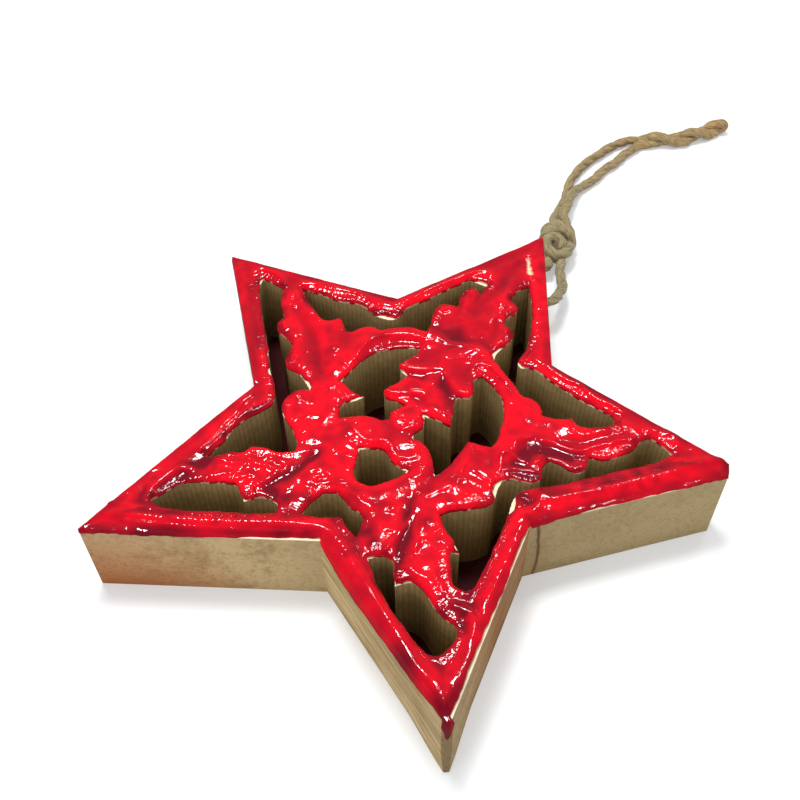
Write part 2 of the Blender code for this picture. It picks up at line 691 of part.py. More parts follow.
def build():
    """Build the ornament: five pieces of the board, the coat and the twine."""
    clear_scene()
    wood = finish("sawn_wood", *WOOD_TAN)
    red = finish("red_enamel", *COAT_RED)
    jute = finish("jute", *TWINE_BUFF)
    star_frame(wood)
    top_palmette(wood)
    arch_with_side_leaves(wood)
    centre_leaf(wood)
    ring_with_lower_leaves(wood)
    red_coat(red)
    pivot = hanger_pivot()
    tip_strand(jute, pivot)
    loop_knot(jute, pivot)
    hanging_loop(jute, pivot)


build()
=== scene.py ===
"""Looks of the wooden star ornament: sawn board, poured red enamel and a loop of jute twine.

Everything is in metres in the part's own frame: the star lies on its back, its front is +Z and
its hanging tip is +Y. The relief of the enamel is drawn in units on a star whose tips lie 75
units from the centre, as the fretwork is.
"""

import bisect
import json
import logging
import math
from dataclasses import dataclass
from enum import Enum

import bmesh
import bpy
import numpy as np
from mathutils import Matrix, Vector, geometry, noise
from mathutils.kdtree import KDTree


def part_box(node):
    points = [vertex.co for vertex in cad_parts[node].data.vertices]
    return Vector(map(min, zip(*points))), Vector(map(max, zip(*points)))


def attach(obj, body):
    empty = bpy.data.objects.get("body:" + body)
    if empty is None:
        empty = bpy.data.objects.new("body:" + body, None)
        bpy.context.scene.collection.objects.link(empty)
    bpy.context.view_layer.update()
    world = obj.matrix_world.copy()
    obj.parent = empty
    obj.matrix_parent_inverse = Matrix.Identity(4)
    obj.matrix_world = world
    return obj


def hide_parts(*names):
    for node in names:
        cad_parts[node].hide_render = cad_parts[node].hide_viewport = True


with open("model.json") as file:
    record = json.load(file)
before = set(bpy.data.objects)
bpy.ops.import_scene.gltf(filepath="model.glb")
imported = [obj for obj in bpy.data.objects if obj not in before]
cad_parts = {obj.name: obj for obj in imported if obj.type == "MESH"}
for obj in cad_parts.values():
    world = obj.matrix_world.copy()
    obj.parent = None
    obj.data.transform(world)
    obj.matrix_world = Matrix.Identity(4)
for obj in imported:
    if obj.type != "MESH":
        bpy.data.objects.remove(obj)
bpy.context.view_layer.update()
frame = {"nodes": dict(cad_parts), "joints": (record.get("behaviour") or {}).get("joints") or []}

log = logging.getLogger("star_ornament")

MILLIMETRE = 0.001
TIP_RADIUS = 0.0634
DRAWN_TIP_RADIUS = 75.0
UNIT = TIP_RADIUS / DRAWN_TIP_RADIUS
SAW_PITCH = 0.00105

# The walls that face the camera, counted counter-clockwise from the hanging tip.
NEAR_SIDES = (4, 5, 6, 7)

Point = tuple[float, float]
Place = tuple[float, float, float]
Colour = tuple[float, float, float]
Shape = bmesh.types.BMesh
Corner = bmesh.types.BMVert
Edge = bmesh.types.BMEdge
Tree = bpy.types.NodeTree
Socket = bpy.types.NodeSocket


class Lay(Enum):
    """How a sculpted line changes the enamel."""

    RAISED = 1
    SUNKEN = -1


@dataclass(frozen=True)
class Line:
    """A sculpted line of the enamel, drawn through given points.

    Width is the half width and height the rise or depth, both in drawn units. Dark says how
    dark the colour goes along it, as pooled enamel and painted shade, and bare how far the
    wood shows.
    """

    points: tuple[Point, ...]
    width: float
    height: float
    lay: Lay = Lay.RAISED
    dark: float = 0.0
    bare: float = 0.0


@dataclass(frozen=True)
class Spot:
    """A round place of the enamel: its centre and radius in drawn units."""

    x: float
    y: float
    radius: float

    def away(self, places: np.ndarray) -> np.ndarray:
        """How far places lie from its centre, in metres."""
        return np.hypot(places[:, 0] - self.x * UNIT, places[:, 1] - self.y * UNIT)


def raised(width: float, height: float, *points: Point) -> Line:
    """A raised line of the enamel."""
    return Line(points, width, height)


def sunken(width: float, depth: float, dark: float, *points: Point) -> Line:
    """A sunken line of the enamel, its colour darkened by pooling and painted shade."""
    return Line(points, width, depth, Lay.SUNKEN, dark)


# In the tables below, a sunken line's dark value darkens the enamel's colour: pooled enamel and
# painted shade.
BAND_LINES: tuple[Line, ...] = (
    raised(2.6, 0.4, (-40, -55.4), (-28, -49.6), (-12, -41.2), (0, -36)),
    raised(0.65, 0.4, (-45, -55.7), (-34, -51.4), (-24, -46.9), (-14, -41.8), (-6, -37.6)),
    raised(0.55, 0.35, (-38, -57.2), (-30, -53.6), (-20, -48.7), (-10, -43.5), (-3, -39.8)),
    raised(0.6, 0.36, (7, -40.5), (16, -45.6), (26, -51), (35, -56), (39.5, -58)),
    raised(0.6, 0.36, (39, -3.5), (45, 2.6), (52, 9.8), (60, 18.8)),
    raised(2.4, 0.4, (4, -36.5), (17, -43.6), (30, -50.8), (38.5, -54.8)),
    raised(2.2, 0.35, (40.6, -52), (39, -40), (36.8, -26), (35.8, -13)),
    raised(2.4, 0.4, (37.5, -6), (45, 1), (56, 12.4), (64.5, 21.4)),
    raised(1.22, 0.64, (-42, -57.5), (-36, -54.3), (-28, -50.8), (-20, -46.8), (-12, -42.4),
           (-5, -38.6), (-1, -37.3), (2, -36.9)),
    raised(1.22, 0.64, (2, -36.9), (6, -38.3), (11, -41.2), (17, -44.5), (23, -48), (29, -51.2),
           (34, -54.3), (38.5, -55.7), (41.5, -57.5)),
    raised(1.31, 0.51, (41.8, -57), (41.8, -52), (40.9, -46), (39.6, -40), (38.2, -31),
           (37.6, -24), (36.8, -16), (36.2, -12)),
    raised(0.9, 0.7, (33.5, -38.8), (36, -38.4), (38, -39.2), (39.3, -41.5), (39.8, -43)),
    raised(0.75, 0.6, (-35.6, -14), (-36.2, -17), (-35.6, -20), (-35.9, -24), (-35.6, -28),
           (-35.9, -33)),
    raised(0.6, 0.3, (-34, -14), (-33.8, -20), (-34.3, -26), (-34.6, -32)),
    raised(0.9, 0.7, (-34.3, -38.6), (-36.2, -39.2), (-37.3, -41.5), (-38, -44.5),
           (-38.3, -47.5), (-37.5, -49.5)),
    raised(1.06, 0.51, (-66.5, 22.2), (-60.5, 15.5), (-54, 8), (-47, 0.2), (-41, -6.5),
           (-38.3, -10)),
    raised(1.06, 0.68, (-47.5, 24.6), (-45, 26), (-41, 26.6), (-37, 27.8), (-33, 28.8),
           (-29, 28.7), (-25, 28.6), (-22.5, 29.5), (-21, 31.5)),
    raised(0.9, 0.7, (-61.2, 21.8), (-60.5, 23.5), (-58, 24.2), (-54.5, 24), (-52, 23),
           (-51.3, 21.8)),
    raised(0.82, 0.6, (-21, 31.5), (-19.3, 35), (-17.6, 39), (-15.5, 43), (-13, 47.3),
           (-11, 50.5), (-9.2, 52.8), (-7.2, 53.5), (-5.8, 52.2)),
    raised(1.8, 0.45, (-0.5, 71), (3.5, 62), (8, 53), (12.5, 44), (16.5, 36.5)),
    raised(0.8, 0.3, (4.2, 57), (6, 53.5), (8, 50)),
    raised(0.75, 0.8, (17.3, 30.6), (21, 29.9), (25, 28.8), (28, 28.3), (30.5, 28.6),
           (33, 27.3), (36, 26.4), (39.5, 26.4), (42.5, 25.8)),
    raised(0.8, 0.6, (50.5, 23.9), (53, 24.6), (55.6, 24.9), (56.8, 24), (57.3, 22.4)),
    raised(1.14, 0.68, (36.3, -5.2), (38.8, -5.4), (42, -2.6), (46, 1.2), (50, 5.3), (54, 9.6),
           (58, 13.8), (62, 18.6), (65, 22.3), (67.5, 24.3)),
    raised(0.9, 0.5, (36.3, -5.2), (37.3, -8), (36.4, -11), (35.6, -14)),
    sunken(2, 0.3, 0.46, (-2.2, 68.5), (-4.5, 63), (-7.5, 57.5), (-10.5, 54)),
    sunken(1.5, 0.25, 0.43, (-69, 23.3), (-64, 22.4), (-60.5, 19.5)),
    sunken(2.2, 0.3, 0.56, (-59, 16.5), (-54, 10.5), (-48, 3.8), (-44.5, 1.2)),
    sunken(1.2, 0.2, 0.22, (-62, 24.8), (-52, 26.5), (-42, 28.3), (-33, 30), (-26, 31)),
    sunken(1.6, 0.3, 0.5, (-51, 24), (-49, 21.5)),
    sunken(1.5, 0.2, 0.25, (-34.5, -12), (-37, -13)),
    sunken(2.2, 0.45, 1, (-33.5, -35.5), (-34.8, -38), (-34.6, -42), (-35.6, -45.5)),
    sunken(1.8, 0.35, 1, (-38.5, -49), (-37, -51.8), (-32, -51)),
    sunken(1.1, 0.3, 0.5, (-36, -51.5), (-28, -48.9), (-20, -44.9), (-11, -39.7), (-5, -37)),
    sunken(1.5, 0.35, 0.53, (5, -36), (12, -39.2), (20, -44), (28, -48.4), (34, -51.6),
           (38, -50.5), (38.5, -46)),
    sunken(1.4, 0.35, 0.5, (35.5, -20), (36, -26), (36.3, -31), (36, -35.5)),
    sunken(1.5, 0.45, 1, (33.5, -36.5), (36, -36.3), (38, -37.5)),
    sunken(1.2, 0.4, 1, (36.5, -41), (38, -42.5)),
    sunken(1.6, 0.2, 0.31, (41, 2.5), (47, 8.5), (52, 13.8), (57, 19.5)),
    sunken(0.8, 0.2, 0.31, (47, -2), (53, 4), (59, 10), (64, 16)),
    sunken(1.2, 0.25, 0.37, (24, 30.3), (33, 29.3), (43, 27.5), (52, 26.5)),
    sunken(1.8, 0.3, 0.5, (42.5, 26), (46, 25)),
    sunken(1.4, 0.3, 0.43, (58.5, 21), (60.5, 22.5)),
    sunken(1.3, 0.2, 0.37, (15.5, 36), (15.3, 32.5)),
)

PALMETTE_LINES: tuple[Line, ...] = (
    raised(1.09, 0.5, (-10.6, 30), (-10.6, 34), (-9, 36.5)),
    raised(0.88, 0.45, (-8, 44), (-6.8, 41.5), (-5.2, 37)),
    raised(2.4, 0.35, (-7.5, 31), (-4, 34.5)),
    raised(1.02, 0.45, (1.5, 45.5), (2.5, 42), (2, 38)),
    raised(0.82, 0.35, (0, 54), (1.2, 50), (1, 46)),
    raised(0.88, 0.45, (7, 36.5), (7, 33), (7.6, 30)),
    raised(2.0, 0.3, (0.5, 37), (1, 33), (0, 31)),
    sunken(1.5, 0.35, 0.5, (-1.8, 61), (-2.2, 55), (-2, 50), (-2.8, 44), (-3, 38)),
    sunken(0.7, 0.3, 0.5, (-4.8, 46), (-4.6, 42), (-3.5, 39.5)),
    sunken(0.7, 0.3, 0.37, (-7, 37.5), (-6.3, 35), (-5.8, 32.5)),
    sunken(0.9, 0.3, 0.43, (3.5, 37.8), (4.6, 35), (5.2, 32.5)),
    sunken(3.3, 0.4, 0.85, (-9, 28.2), (-4, 27.8), (1, 27.6), (7.5, 28)),
    Line(((-0.2, 63.2), (0.5, 62.2), (1.0, 61.0), (2.0, 60.0)), 0.42, 0.5, Lay.SUNKEN, 0.0, 1.0),
    Line(((1.6, 60.2), (2.1, 59.2), (2.8, 58.5)), 0.58, 0.5, Lay.SUNKEN, 0.0, 1.0),
)

ARCH_LINES: tuple[Line, ...] = (
    raised(2.2, 0.7, (-22.5, 3), (-23, 9), (-22.4, 14), (-20.6, 18.6), (-16.5, 22.3),
           (-12, 24.4), (-7, 25)),
    raised(0.8, 0.5, (-20.6, 7), (-20.9, 12), (-20.3, 16.8), (-17.5, 19.7), (-13.5, 22.2),
           (-10, 23)),
    raised(2.2, 0.7, (3, 26.5), (8, 25.5), (13, 22.8), (18, 18), (22, 12), (24, 6), (24.5, 0)),
    raised(0.7, 0.5, (5.9, 20), (5.8, 21.8), (7.3, 23), (9.5, 22.9), (12, 21.6), (14.2, 20)),
    raised(0.8, 0.4, (4, 27), (2, 24.5), (-1, 21.5), (-2.5, 20)),
    raised(0.9, 0.4, (-9, 25.3), (-4, 25), (0, 26.3), (4, 27)),
    sunken(1.2, 0.45, 0.43, (-18.8, 8), (-18.8, 13), (-16.5, 17), (-12.5, 20.3), (-9.5, 21.5)),
    sunken(1, 0.3, 0.19, (9, 21), (12.5, 19), (16, 16.5)),
    sunken(1.2, 0.25, 0.25, (3.5, 24), (5, 23)),
)

SIDE_LEAF_LINES: tuple[Line, ...] = (
    raised(2.2, 0.5, (-47, 21), (-42, 17.5), (-36, 14.5), (-31, 12), (-27, 8), (-24, 3)),
    raised(1.8, 0.5, (-43, 9.5), (-39, 8), (-34.5, 4.5), (-33, 1), (-29, -0.2)),
    raised(1.8, 0.35, (-24, 19.5), (-23.5, 14), (-24.5, 9)),
    sunken(1.2, 0.45, 0.5, (-43, 15.8), (-38, 12.3), (-34, 9.5), (-31, 6.5), (-28, 3),
           (-25.5, 0.5)),
    raised(2.2, 0.5, (20, 16), (25, 13.5), (31, 14.5), (37, 15), (42, 19), (46, 22.5)),
    raised(0.7, 0.55, (48, 19.3), (46, 18), (43.5, 15.2), (41, 12.8), (38.8, 10.2),
           (35.5, 9.4), (32, 9.3), (30, 8.6)),
    raised(0.7, 0.5, (27.5, 8.5), (26.2, 7), (25.3, 4.8), (25.8, 3.4)),
    raised(0.5, 0.5, (24.2, -0.3), (25, -2), (25.7, -4)),
    raised(0.6, 0.4, (26.5, -3.2), (28, -1.8), (30.5, -0.8), (32.3, -0.2)),
    raised(0.6, 0.4, (24, 0.3), (25.5, 1.5), (27.5, 1.2), (29.3, 1.3)),
    raised(0.7, 0.5, (31.8, 4.5), (31.6, 2)),
    sunken(1.3, 0.4, 0.56, (45, 20.5), (41.5, 16.5), (38, 12.8), (34, 10.8)),
    sunken(2.4, 0.35, 1, (38, 8), (33, 7.2), (29.5, 5.5), (28, 2), (29, -1), (33, -1.8)),
    sunken(1.2, 0.25, 0.37, (22.5, 0), (23, -4)),
)

CENTRE_LEAF_LINES: tuple[Line, ...] = (
    raised(0.9, 0.7, (-9.6, 12.2), (-7, 12.8), (-4.5, 14), (-2, 15.6), (-0.5, 16.3)),
    raised(0.9, 0.6, (-0.5, 16.3), (2, 15), (4.5, 13.2), (6.5, 12.2), (9, 12.8)),
    raised(0.8, 0.3, (-0.6, 16), (-1.5, 19), (-2.5, 21), (-0.5, 24)),
    raised(0.9, 0.7, (-9, 3.2), (-6.5, 4), (-4, 5.3), (-2, 6.8), (-0.4, 7.6)),
    raised(0.9, 0.6, (-0.4, 7.6), (1.5, 6), (3.5, 4.6), (6, 4), (9.2, 3.2)),
    raised(0.7, 0.35, (-0.4, 7.6), (-0.5, 10), (0.3, 12.5), (-0.3, 14.6)),
    raised(2.6, 0.7, (-1.2, -0.8), (1.2, -0.8)),
    raised(0.6, 0.35, (-3.2, -2.6), (-1.6, -4.2), (0, -4.9), (1.4, -4.2), (2.6, -3)),
    sunken(1.5, 0.3, 0.43, (-6.5, 20), (-6, 17)),
    sunken(1.6, 0.3, 0.37, (4, 20), (6, 17.5)),
    sunken(1.1, 0.45, 0.56, (-6, 11.3), (-3.5, 12)),
    sunken(1.7, 0.45, 0.95, (1.5, 13.5), (4.5, 10.5), (7.2, 8.5)),
    sunken(0.9, 0.4, 0.5, (-2, 5.2), (0.8, 5)),
)

RING_LINES: tuple[Line, ...] = (
    raised(2.0, 0.5, (-7.5, -9.5), (-10, -12.5), (-9, -16.5), (-7, -20), (-4, -23.5), (0, -25),
           (4, -24.5), (7.5, -21), (9.5, -17), (10.5, -12.5), (8.5, -8.7), (5, -7.3),
           (1.5, -9), (0, -9.8), (-2, -9), (-5, -7.6), (-7.5, -9.5)),
    raised(0.7, 0.5, (-9.6, -10.2), (-7.5, -11.2), (-4.5, -11.6), (-1.8, -10.6), (0, -9.7)),
    raised(0.7, 0.45, (0.6, -9.7), (2.3, -11.3), (4, -12.1), (6, -11.6), (7.8, -10)),
    raised(0.8, 0.45, (-0.5, -25.8), (2, -26.2), (4, -27), (5.8, -26.8), (7, -28.2)),
    raised(0.95, 0.4, (17, -1), (18, -5), (17.5, -9.5)),
    raised(1.0, 0.5, (20.5, -7), (23, -6.2), (25.3, -7.5), (26.5, -10)),
    raised(0.8, 0.4, (18.8, -11), (21, -9.6), (23.5, -9.8)),
    raised(2.2, 0.5, (20, -13), (23.5, -13), (22, -16.5), (18.5, -18)),
    raised(0.7, 0.5, (17.2, -11), (17.8, -13.5), (16.3, -16), (15, -18)),
    raised(2.2, 0.45, (-26, -8), (-23, -12), (-19, -15.5), (-16, -18)),
    raised(2.0, 0.4, (-19, -2), (-17, -6), (-15.5, -10)),
    raised(0.8, 0.3, (-21.5, -3), (-20, -0.5)),
    sunken(1.6, 0.4, 0.5, (-3.2, -5), (0, -6.5), (0.3, -8.5), (3, -6)),
    sunken(2, 0.35, 0.56, (14.2, -3), (14, -9), (13.5, -14), (14.5, -17)),
    sunken(1.2, 0.25, 0.31, (-14, -19), (-16.5, -20.5)),
)

LOWER_LEAF_LINES: tuple[Line, ...] = (
    sunken(1.4, 0.45, 0.95, (-12.6, -21), (-13.5, -26), (-15, -30), (-16.5, -33.5),
           (-14, -35)),
    raised(1.0, 0.4, (-11.5, -24), (-11.9, -28), (-12.3, -32)),
    raised(0.8, 0.5, (-30, -33.5), (-27, -32.5), (-24.3, -31)),
    raised(0.8, 0.55, (-23, -30.5), (-20, -29.2), (-17, -29.3)),
    raised(0.7, 0.45, (-21.5, -28.5), (-20.8, -27), (-18.5, -26.8), (-16.5, -26.6),
           (-16, -28)),
    raised(0.7, 0.4, (-24.5, -31), (-25, -34), (-25.3, -36)),
    raised(0.7, 0.5, (-30.8, -36), (-29, -37.8), (-27.3, -36.2), (-25.5, -35)),
    raised(0.6, 0.4, (-17, -29.3), (-17.5, -32), (-18.5, -33.5)),
    raised(0.7, 0.4, (-23.5, -35.5), (-22, -33.5), (-20, -33), (-18.5, -34.5)),
    raised(1.09, 0.4, (-31, -31), (-26, -27.5), (-20, -25), (-14.5, -21)),
    raised(1.8, 0.5, (-10, -24), (-9, -29), (-8.8, -34)),
    raised(0.6, 0.4, (-11.5, -26.5), (-8.5, -24.2), (-5.5, -24.5), (-3.8, -25.5),
           (-1.5, -24.8)),
    raised(0.5, 0.4, (-7, -27.3), (-4.5, -25.6)),
    raised(1.8, 0.5, (9, -25), (10.5, -30), (11.5, -34)),
    raised(0.6, 0.4, (14.6, -22), (15, -27), (14.8, -31), (14.5, -34.5)),
    sunken(1.3, 0.5, 1, (12.6, -20.5), (14.3, -24), (15.8, -28), (17, -32), (18.3, -35.5)),
    raised(0.8, 0.45, (17.5, -24), (19, -28), (19.5, -31.5)),
    raised(2.2, 0.5, (15, -20.5), (20, -23.5), (24.5, -27.5), (28, -32), (33, -36)),
    raised(1.8, 0.45, (19.5, -26), (22, -29.5), (25, -33), (30, -37)),
    raised(0.82, 0.45, (19.5, -34.5), (22, -36.2), (25.5, -36.2), (29, -38.5)),
)

# Lines that barely sink the enamel and mostly darken its colour: painted shade, with a little
# pooled enamel.
PAINTED_SHADE_LINES: tuple[Line, ...] = (
    sunken(1.6, 0.06, 0.5, (-42.2, 17.9), (-35.1, 9.9), (-30.7, 4.1), (-25.7, -1)),
    sunken(2.6, 0.06, 0.5, (-6.6, 28.3), (-1.5, 28.6), (2.1, 29.6)),
    sunken(2.2, 0.06, 0.5, (-7.5, 15.7), (-2.9, 20.5)),
    sunken(2.4, 0.06, 0.45, (0.8, 20.5), (6.3, 15.8)),
    sunken(2, 0.06, 0.5, (-3.2, -5), (2, -6.5), (3, -9.4)),
    sunken(1.8, 0.06, 0.45, (9.1, -9.3), (7.6, -13.6)),
    sunken(2.2, 0.06, 0.45, (-28, 14.1), (-22.2, 11.2)),
    sunken(2.2, 0.06, 0.5, (-57.5, 15.9), (-50.2, 8.8), (-45.1, 3)),
    sunken(1.6, 0.06, 0.5, (-63.4, 22), (-51.9, 23.9), (-40.8, 27.4), (-30.9, 29.7)),
    sunken(2.4, 0.06, 0.5, (-4.2, 57), (1.9, 53.2)),
    sunken(2.6, 0.06, 0.5, (-5.7, 37.3), (-0.8, 40.2)),
    sunken(1.7, 0.06, 0.55, (-15, 46.5), (-9.8, 56.1), (-4, 66.2)),
    sunken(2, 0.06, 0.45, (0.3, 21), (4.8, 15.9)),
)

ALL_LINES = (BAND_LINES + PALMETTE_LINES + ARCH_LINES + SIDE_LEAF_LINES + CENTRE_LEAF_LINES
             + RING_LINES + LOWER_LEAF_LINES + PAINTED_SHADE_LINES)

BUBBLES: tuple[Spot, ...] = (
    Spot(-0.8, 64.6, 0.9), Spot(-26, 8, 1.2), Spot(35, 14.5, 0.9), Spot(1.8, 43.5, 0.8),
    Spot(2.4, 42.0, 0.8), Spot(27.8, -33.3, 0.7), Spot(-20.8, -2, 0.8), Spot(-9, -18.3, 0.7),
    Spot(4.8, -7.3, 0.7), Spot(-25, -9.5, 0.8), Spot(-38.5, 16, 0.7), Spot(33, 15, 0.7),
    Spot(7.5, 32, 0.8), Spot(-9.2, -9.0, 0.7), Spot(3.8, 22.8, 0.9), Spot(13.3, -18.6, 0.8),
    Spot(10.2, -25.2, 0.6), Spot(43.7, 20.3, 0.6), Spot(4, 56.5, 0.7), Spot(-36.6, 8, 0.6),
)

CRUMPLED: tuple[Spot, ...] = (
    Spot(-24, -31, 9), Spot(-17, -31, 6), Spot(-20, -8, 8), Spot(-38, 12, 7), Spot(-33, 3, 6),
    Spot(-9.5, 33, 4), Spot(8, 32, 4), Spot(1, -9.5, 5), Spot(8, -12, 5), Spot(14, -26, 7),
    Spot(20, -33, 6), Spot(0, -1, 4), Spot(21, -10, 6), Spot(26, 3, 4), Spot(-7, -27, 5),
    Spot(42, -55, 5), Spot(-9, -14, 4), Spot(44, 18, 5), Spot(52, 22, 5),
)

BARE_EDGES: tuple[Spot, ...] = (
    Spot(-7, 49.6, 2.4), Spot(15.3, 28.0, 1.7), Spot(-22, 25.2, 3.2), Spot(-58.6, 20, 1.7),
    Spot(-41, -0.6, 1.3), Spot(-36.5, -4.8, 1.9), Spot(-26.3, -4.0, 2.2), Spot(-20.4, 1, 1.2),
    Spot(-14.0, -1.8, 2.0), Spot(-8.6, 10.4, 1.8), Spot(2.6, 2.4, 2.0), Spot(4.6, -5.0, 1.4),
    Spot(13.8, -11.6, 1.2), Spot(-4.6, -13.8, 1.4), Spot(7.4, -14.2, 1.2), Spot(27.4, -8, 3.0),
    Spot(32.6, -10.5, 3.2), Spot(26.8, -26.6, 1.6), Spot(20.4, -39.9, 1.2),
    Spot(-19, -39.2, 1.1), Spot(-8.2, -36.8, 2.6), Spot(10.4, -36.0, 3.4), Spot(8.6, 29, 2.6),
)

SIDE_RUNS: tuple[tuple[float, ...], ...] = (
    (0.9, 0.7, 0.9, 0.6, 0.8), (0.8, 1.0, 0.7, 0.9, 0.8), (0.8, 0.6, 0.9, 0.8, 0.6),
    (0.6, 0.9, 0.7, 0.8, 0.9), (0.1, 0.25, -0.15, -0.3, -0.6), (0.3, 1.3, 1.4, 1.2, 0.1),
    (-0.3, -0.4, -0.2, -0.25, -0.1), (0.6, 0.35, -0.05, 0.0, 0.25), (0.6, 0.8, 0.9, 0.7, 0.8),
    (0.8, 0.7, 0.9, 0.8, 0.9),
)

# How dark the enamel goes by each side's outer edge, at five places: pooled enamel and painted
# shade.
SIDE_SHADES: tuple[tuple[float, ...], ...] = (
    (0.3, 0.35, 0.3, 0.3, 0.35), (0.35, 0.35, 0.3, 0.35, 0.4), (0.45, 0.35, 0.3, 0.3, 0.35),
    (0.35, 0.25, 0.2, 0.25, 0.4), (0.7, 0.6, 0.65, 0.6, 0.35), (0.2, 0.25, 0.3, 0.45, 0.75),
    (0.45, 0.25, 0.2, 0.25, 0.45), (0.65, 0.4, 0.3, 0.3, 0.4), (0.45, 0.5, 0.45, 0.45, 0.4),
    (0.4, 0.25, 0.2, 0.15, 0.3),
)

SIDE_HEIGHTS: tuple[tuple[float, ...], ...] = (
    (0.9, 0.9, 0.9, 0.9, 0.8), (0.8, 0.9, 0.9, 0.9, 1.0), (1.0, 0.9, 0.9, 0.85, 0.7),
    (0.7, 0.85, 0.9, 0.9, 0.95), (0.8, 0.3, 0.15, 0.15, 0.35), (0.4, 0.55, 0.6, 0.6, 0.35),
    (0.35, 0.6, 0.55, 0.5, 0.5), (0.5, 0.45, 0.5, 0.5, 0.5), (0.55, 0.8, 0.9, 0.9, 0.8),
    (0.8, 0.9, 0.9, 0.9, 0.95),
)


@dataclass(frozen=True)
class Drip:
    """Enamel that ran down the outer wall: its place in drawn units, length and width."""

    x: float
    y: float
    length: float
    width: float


DRIPS: tuple[Drip, ...] = (Drip(44.0, -60.3, 0.0062, 0.0010),)


def smoothstep(low: float, high: float, value: np.ndarray) -> np.ndarray:
    """A soft step from 0 at low to 1 at high."""
    share = np.clip((value - low) / (high - low), 0.0, 1.0)
    return share * share * (3.0 - 2.0 * share)


def ripple(point: Vector, size: float, seed: float) -> float:
    """Smooth noise between about -1 and 1.

    Args:
        point: Where to read it, in metres.
        size: How wide one ripple is, in metres.
        seed: A number that sets one noise apart from another.

    Returns:
        The noise at the point.
    """
    return noise.noise(point / size + Vector((seed, -seed, 0.5 * seed))) * 1.6


def smooth(low: float, high: float, value: float) -> float:
    """A soft step of one number from 0 at low to 1 at high."""
    share = min(1.0, max(0.0, (value - low) / (high - low)))
    return share * share * (3.0 - 2.0 * share)


def within(ends: tuple[float, ...], value: float) -> float:
    """1 between the middle two of four ends, and softly down to 0 at the outer two."""
    return smooth(ends[0], ends[1], value) * smooth(ends[3], ends[2], value)


SIDE_ENDS = (90.8, 125.3, 161.2, 196.2, 234.9, 271.7, 306.4, 341.2, 377.3, 415.1, 450.8)


def side_place(place: Vector) -> tuple[int, float]:
    """Which of the star's ten sides a place is nearest to, and how far along it.

    Args:
        place: A place in plan.

    Returns:
        The side's number, counter-clockwise from the hanging tip, and a share from 0 to 1.
    """
    start = SIDE_ENDS[0]
    turn = (math.degrees(math.atan2(place.y, place.x)) - start) % 360.0 + start
    side = bisect.bisect_right(SIDE_ENDS, turn, 0, 10) - 1
    return side, (turn - SIDE_ENDS[side]) / (SIDE_ENDS[side + 1] - SIDE_ENDS[side])


def from_table(table: tuple[tuple[float, ...], ...], place: Vector) -> float:
    """A value that a table gives for five places along each side of the star."""
    side, share = side_place(place)
    at = share * 4.0
    low = min(int(at), 3)
    return table[side][low] + (table[side][low + 1] - table[side][low]) * (at - low)


def side_run(place: Vector) -> float:
    """How far the enamel has run down the outer wall at a place.

    Args:
        place: A place on the star's outline.

    Returns:
        The distance in metres, or below 0 how far it stops short of the wood's edge.
    """
    run = from_table(SIDE_RUNS, place) * MILLIMETRE
    wander = 0.6 * ripple(place, 0.0045, 21.0) + 0.4 * ripple(place, 0.0014, 25.0)
    for drip in DRIPS:
        away = math.hypot(place.x - drip.x * UNIT, place.y - drip.y * UNIT)
        if away < drip.width:
            run = max(run, drip.length * (1.0 - smooth(0.0, drip.width, away)))
    return run + 0.00022 * wander


def side_shade(place: Vector) -> float:
    """How dark the enamel goes by the outer edge at a place, from 0 to 1: pooling and painted
    shade.
    """
    shade = from_table(SIDE_SHADES, place) + 0.25 * ripple(place, 0.0035, 29.0)
    return min(1.0, max(0.0, shade))


def extruded(shape: Shape, edges: list[Edge], numbers: dict[Corner, int]
             ) -> tuple[dict[Corner, int], list[Edge]]:
    """Extrude a chain of edges once and number its new corners as the old ones were.

    Args:
        shape: The mesh.
        edges: The chain.
        numbers: The number of each of its corners.

    Returns:
        The new corners with their numbers, and the new edges.
    """
    made = bmesh.ops.extrude_edge_only(shape, edges=edges)["geom"]
    found = {}
    for item in made:
        if isinstance(item, Corner):
            for edge in item.link_edges:
                other = edge.other_vert(item)
                if other in numbers:
                    found[item] = numbers[other]
    grown = [item for item in made if isinstance(item, Edge)
             and item.verts[0] in found and item.verts[1] in found]
    return found, grown


def circles(shape: Shape, count: int, sides: int, radius: float, closed: bool
            ) -> tuple[dict[Corner, int], list[Edge]]:
    """Start a number of tubes at once.

    Args:
        shape: The mesh.
        count: How many tubes there are.
        sides: How many sides each has.
        radius: Their radius.
        closed: Whether their first ends are closed.

    Returns:
        The corners with their numbers, and the edges.
    """
    numbers = {}
    edges = {}
    for circle in range(count):
        made = bmesh.ops.create_circle(shape, cap_ends=closed, segments=sides, radius=radius)
        for spot, corner in enumerate(made["verts"]):
            numbers[corner] = circle * sides + spot
            edges.update(dict.fromkeys(corner.link_edges))
    return numbers, list(edges)


def note(corner: Corner, marks: dict[str, bmesh.types.BMLayerItem], **values: float) -> None:
    """Keep values at a corner in the mesh's own marks."""
    for name, value in values.items():
        corner[marks[name]] = value


def heading(before: Vector, point: Vector, after: Vector) -> Vector:
    """Direction of a smooth curve at a point, from its neighbours and their distances."""
    near = (point - before).length
    far = (after - point).length
    if near == 0.0:
        return (after - point) / far
    if far == 0.0:
        return (point - before) / near
    return ((point - before) * (far / near) + (after - point) * (near / far)) / (near + far)


def spline_point(before: Vector, start: Vector, end: Vector, after: Vector, t: float) -> Vector:
    """A point on the smooth curve between two points.

    Args:
        before: The point before the start.
        start: Where the stretch starts.
        end: Where the stretch ends.
        after: The point after the end.
        t: The share of the way.

    Returns:
        The point at that share.
    """
    length = (end - start).length
    pull_in = heading(before, start, end) * length
    pull_out = heading(start, end, after) * length
    square = t * t
    cube = square * t
    return (start * (2 * cube - 3 * square + 1) + pull_in * (cube - 2 * square + t)
            + end * (3 * square - 2 * cube) + pull_out * (cube - square))


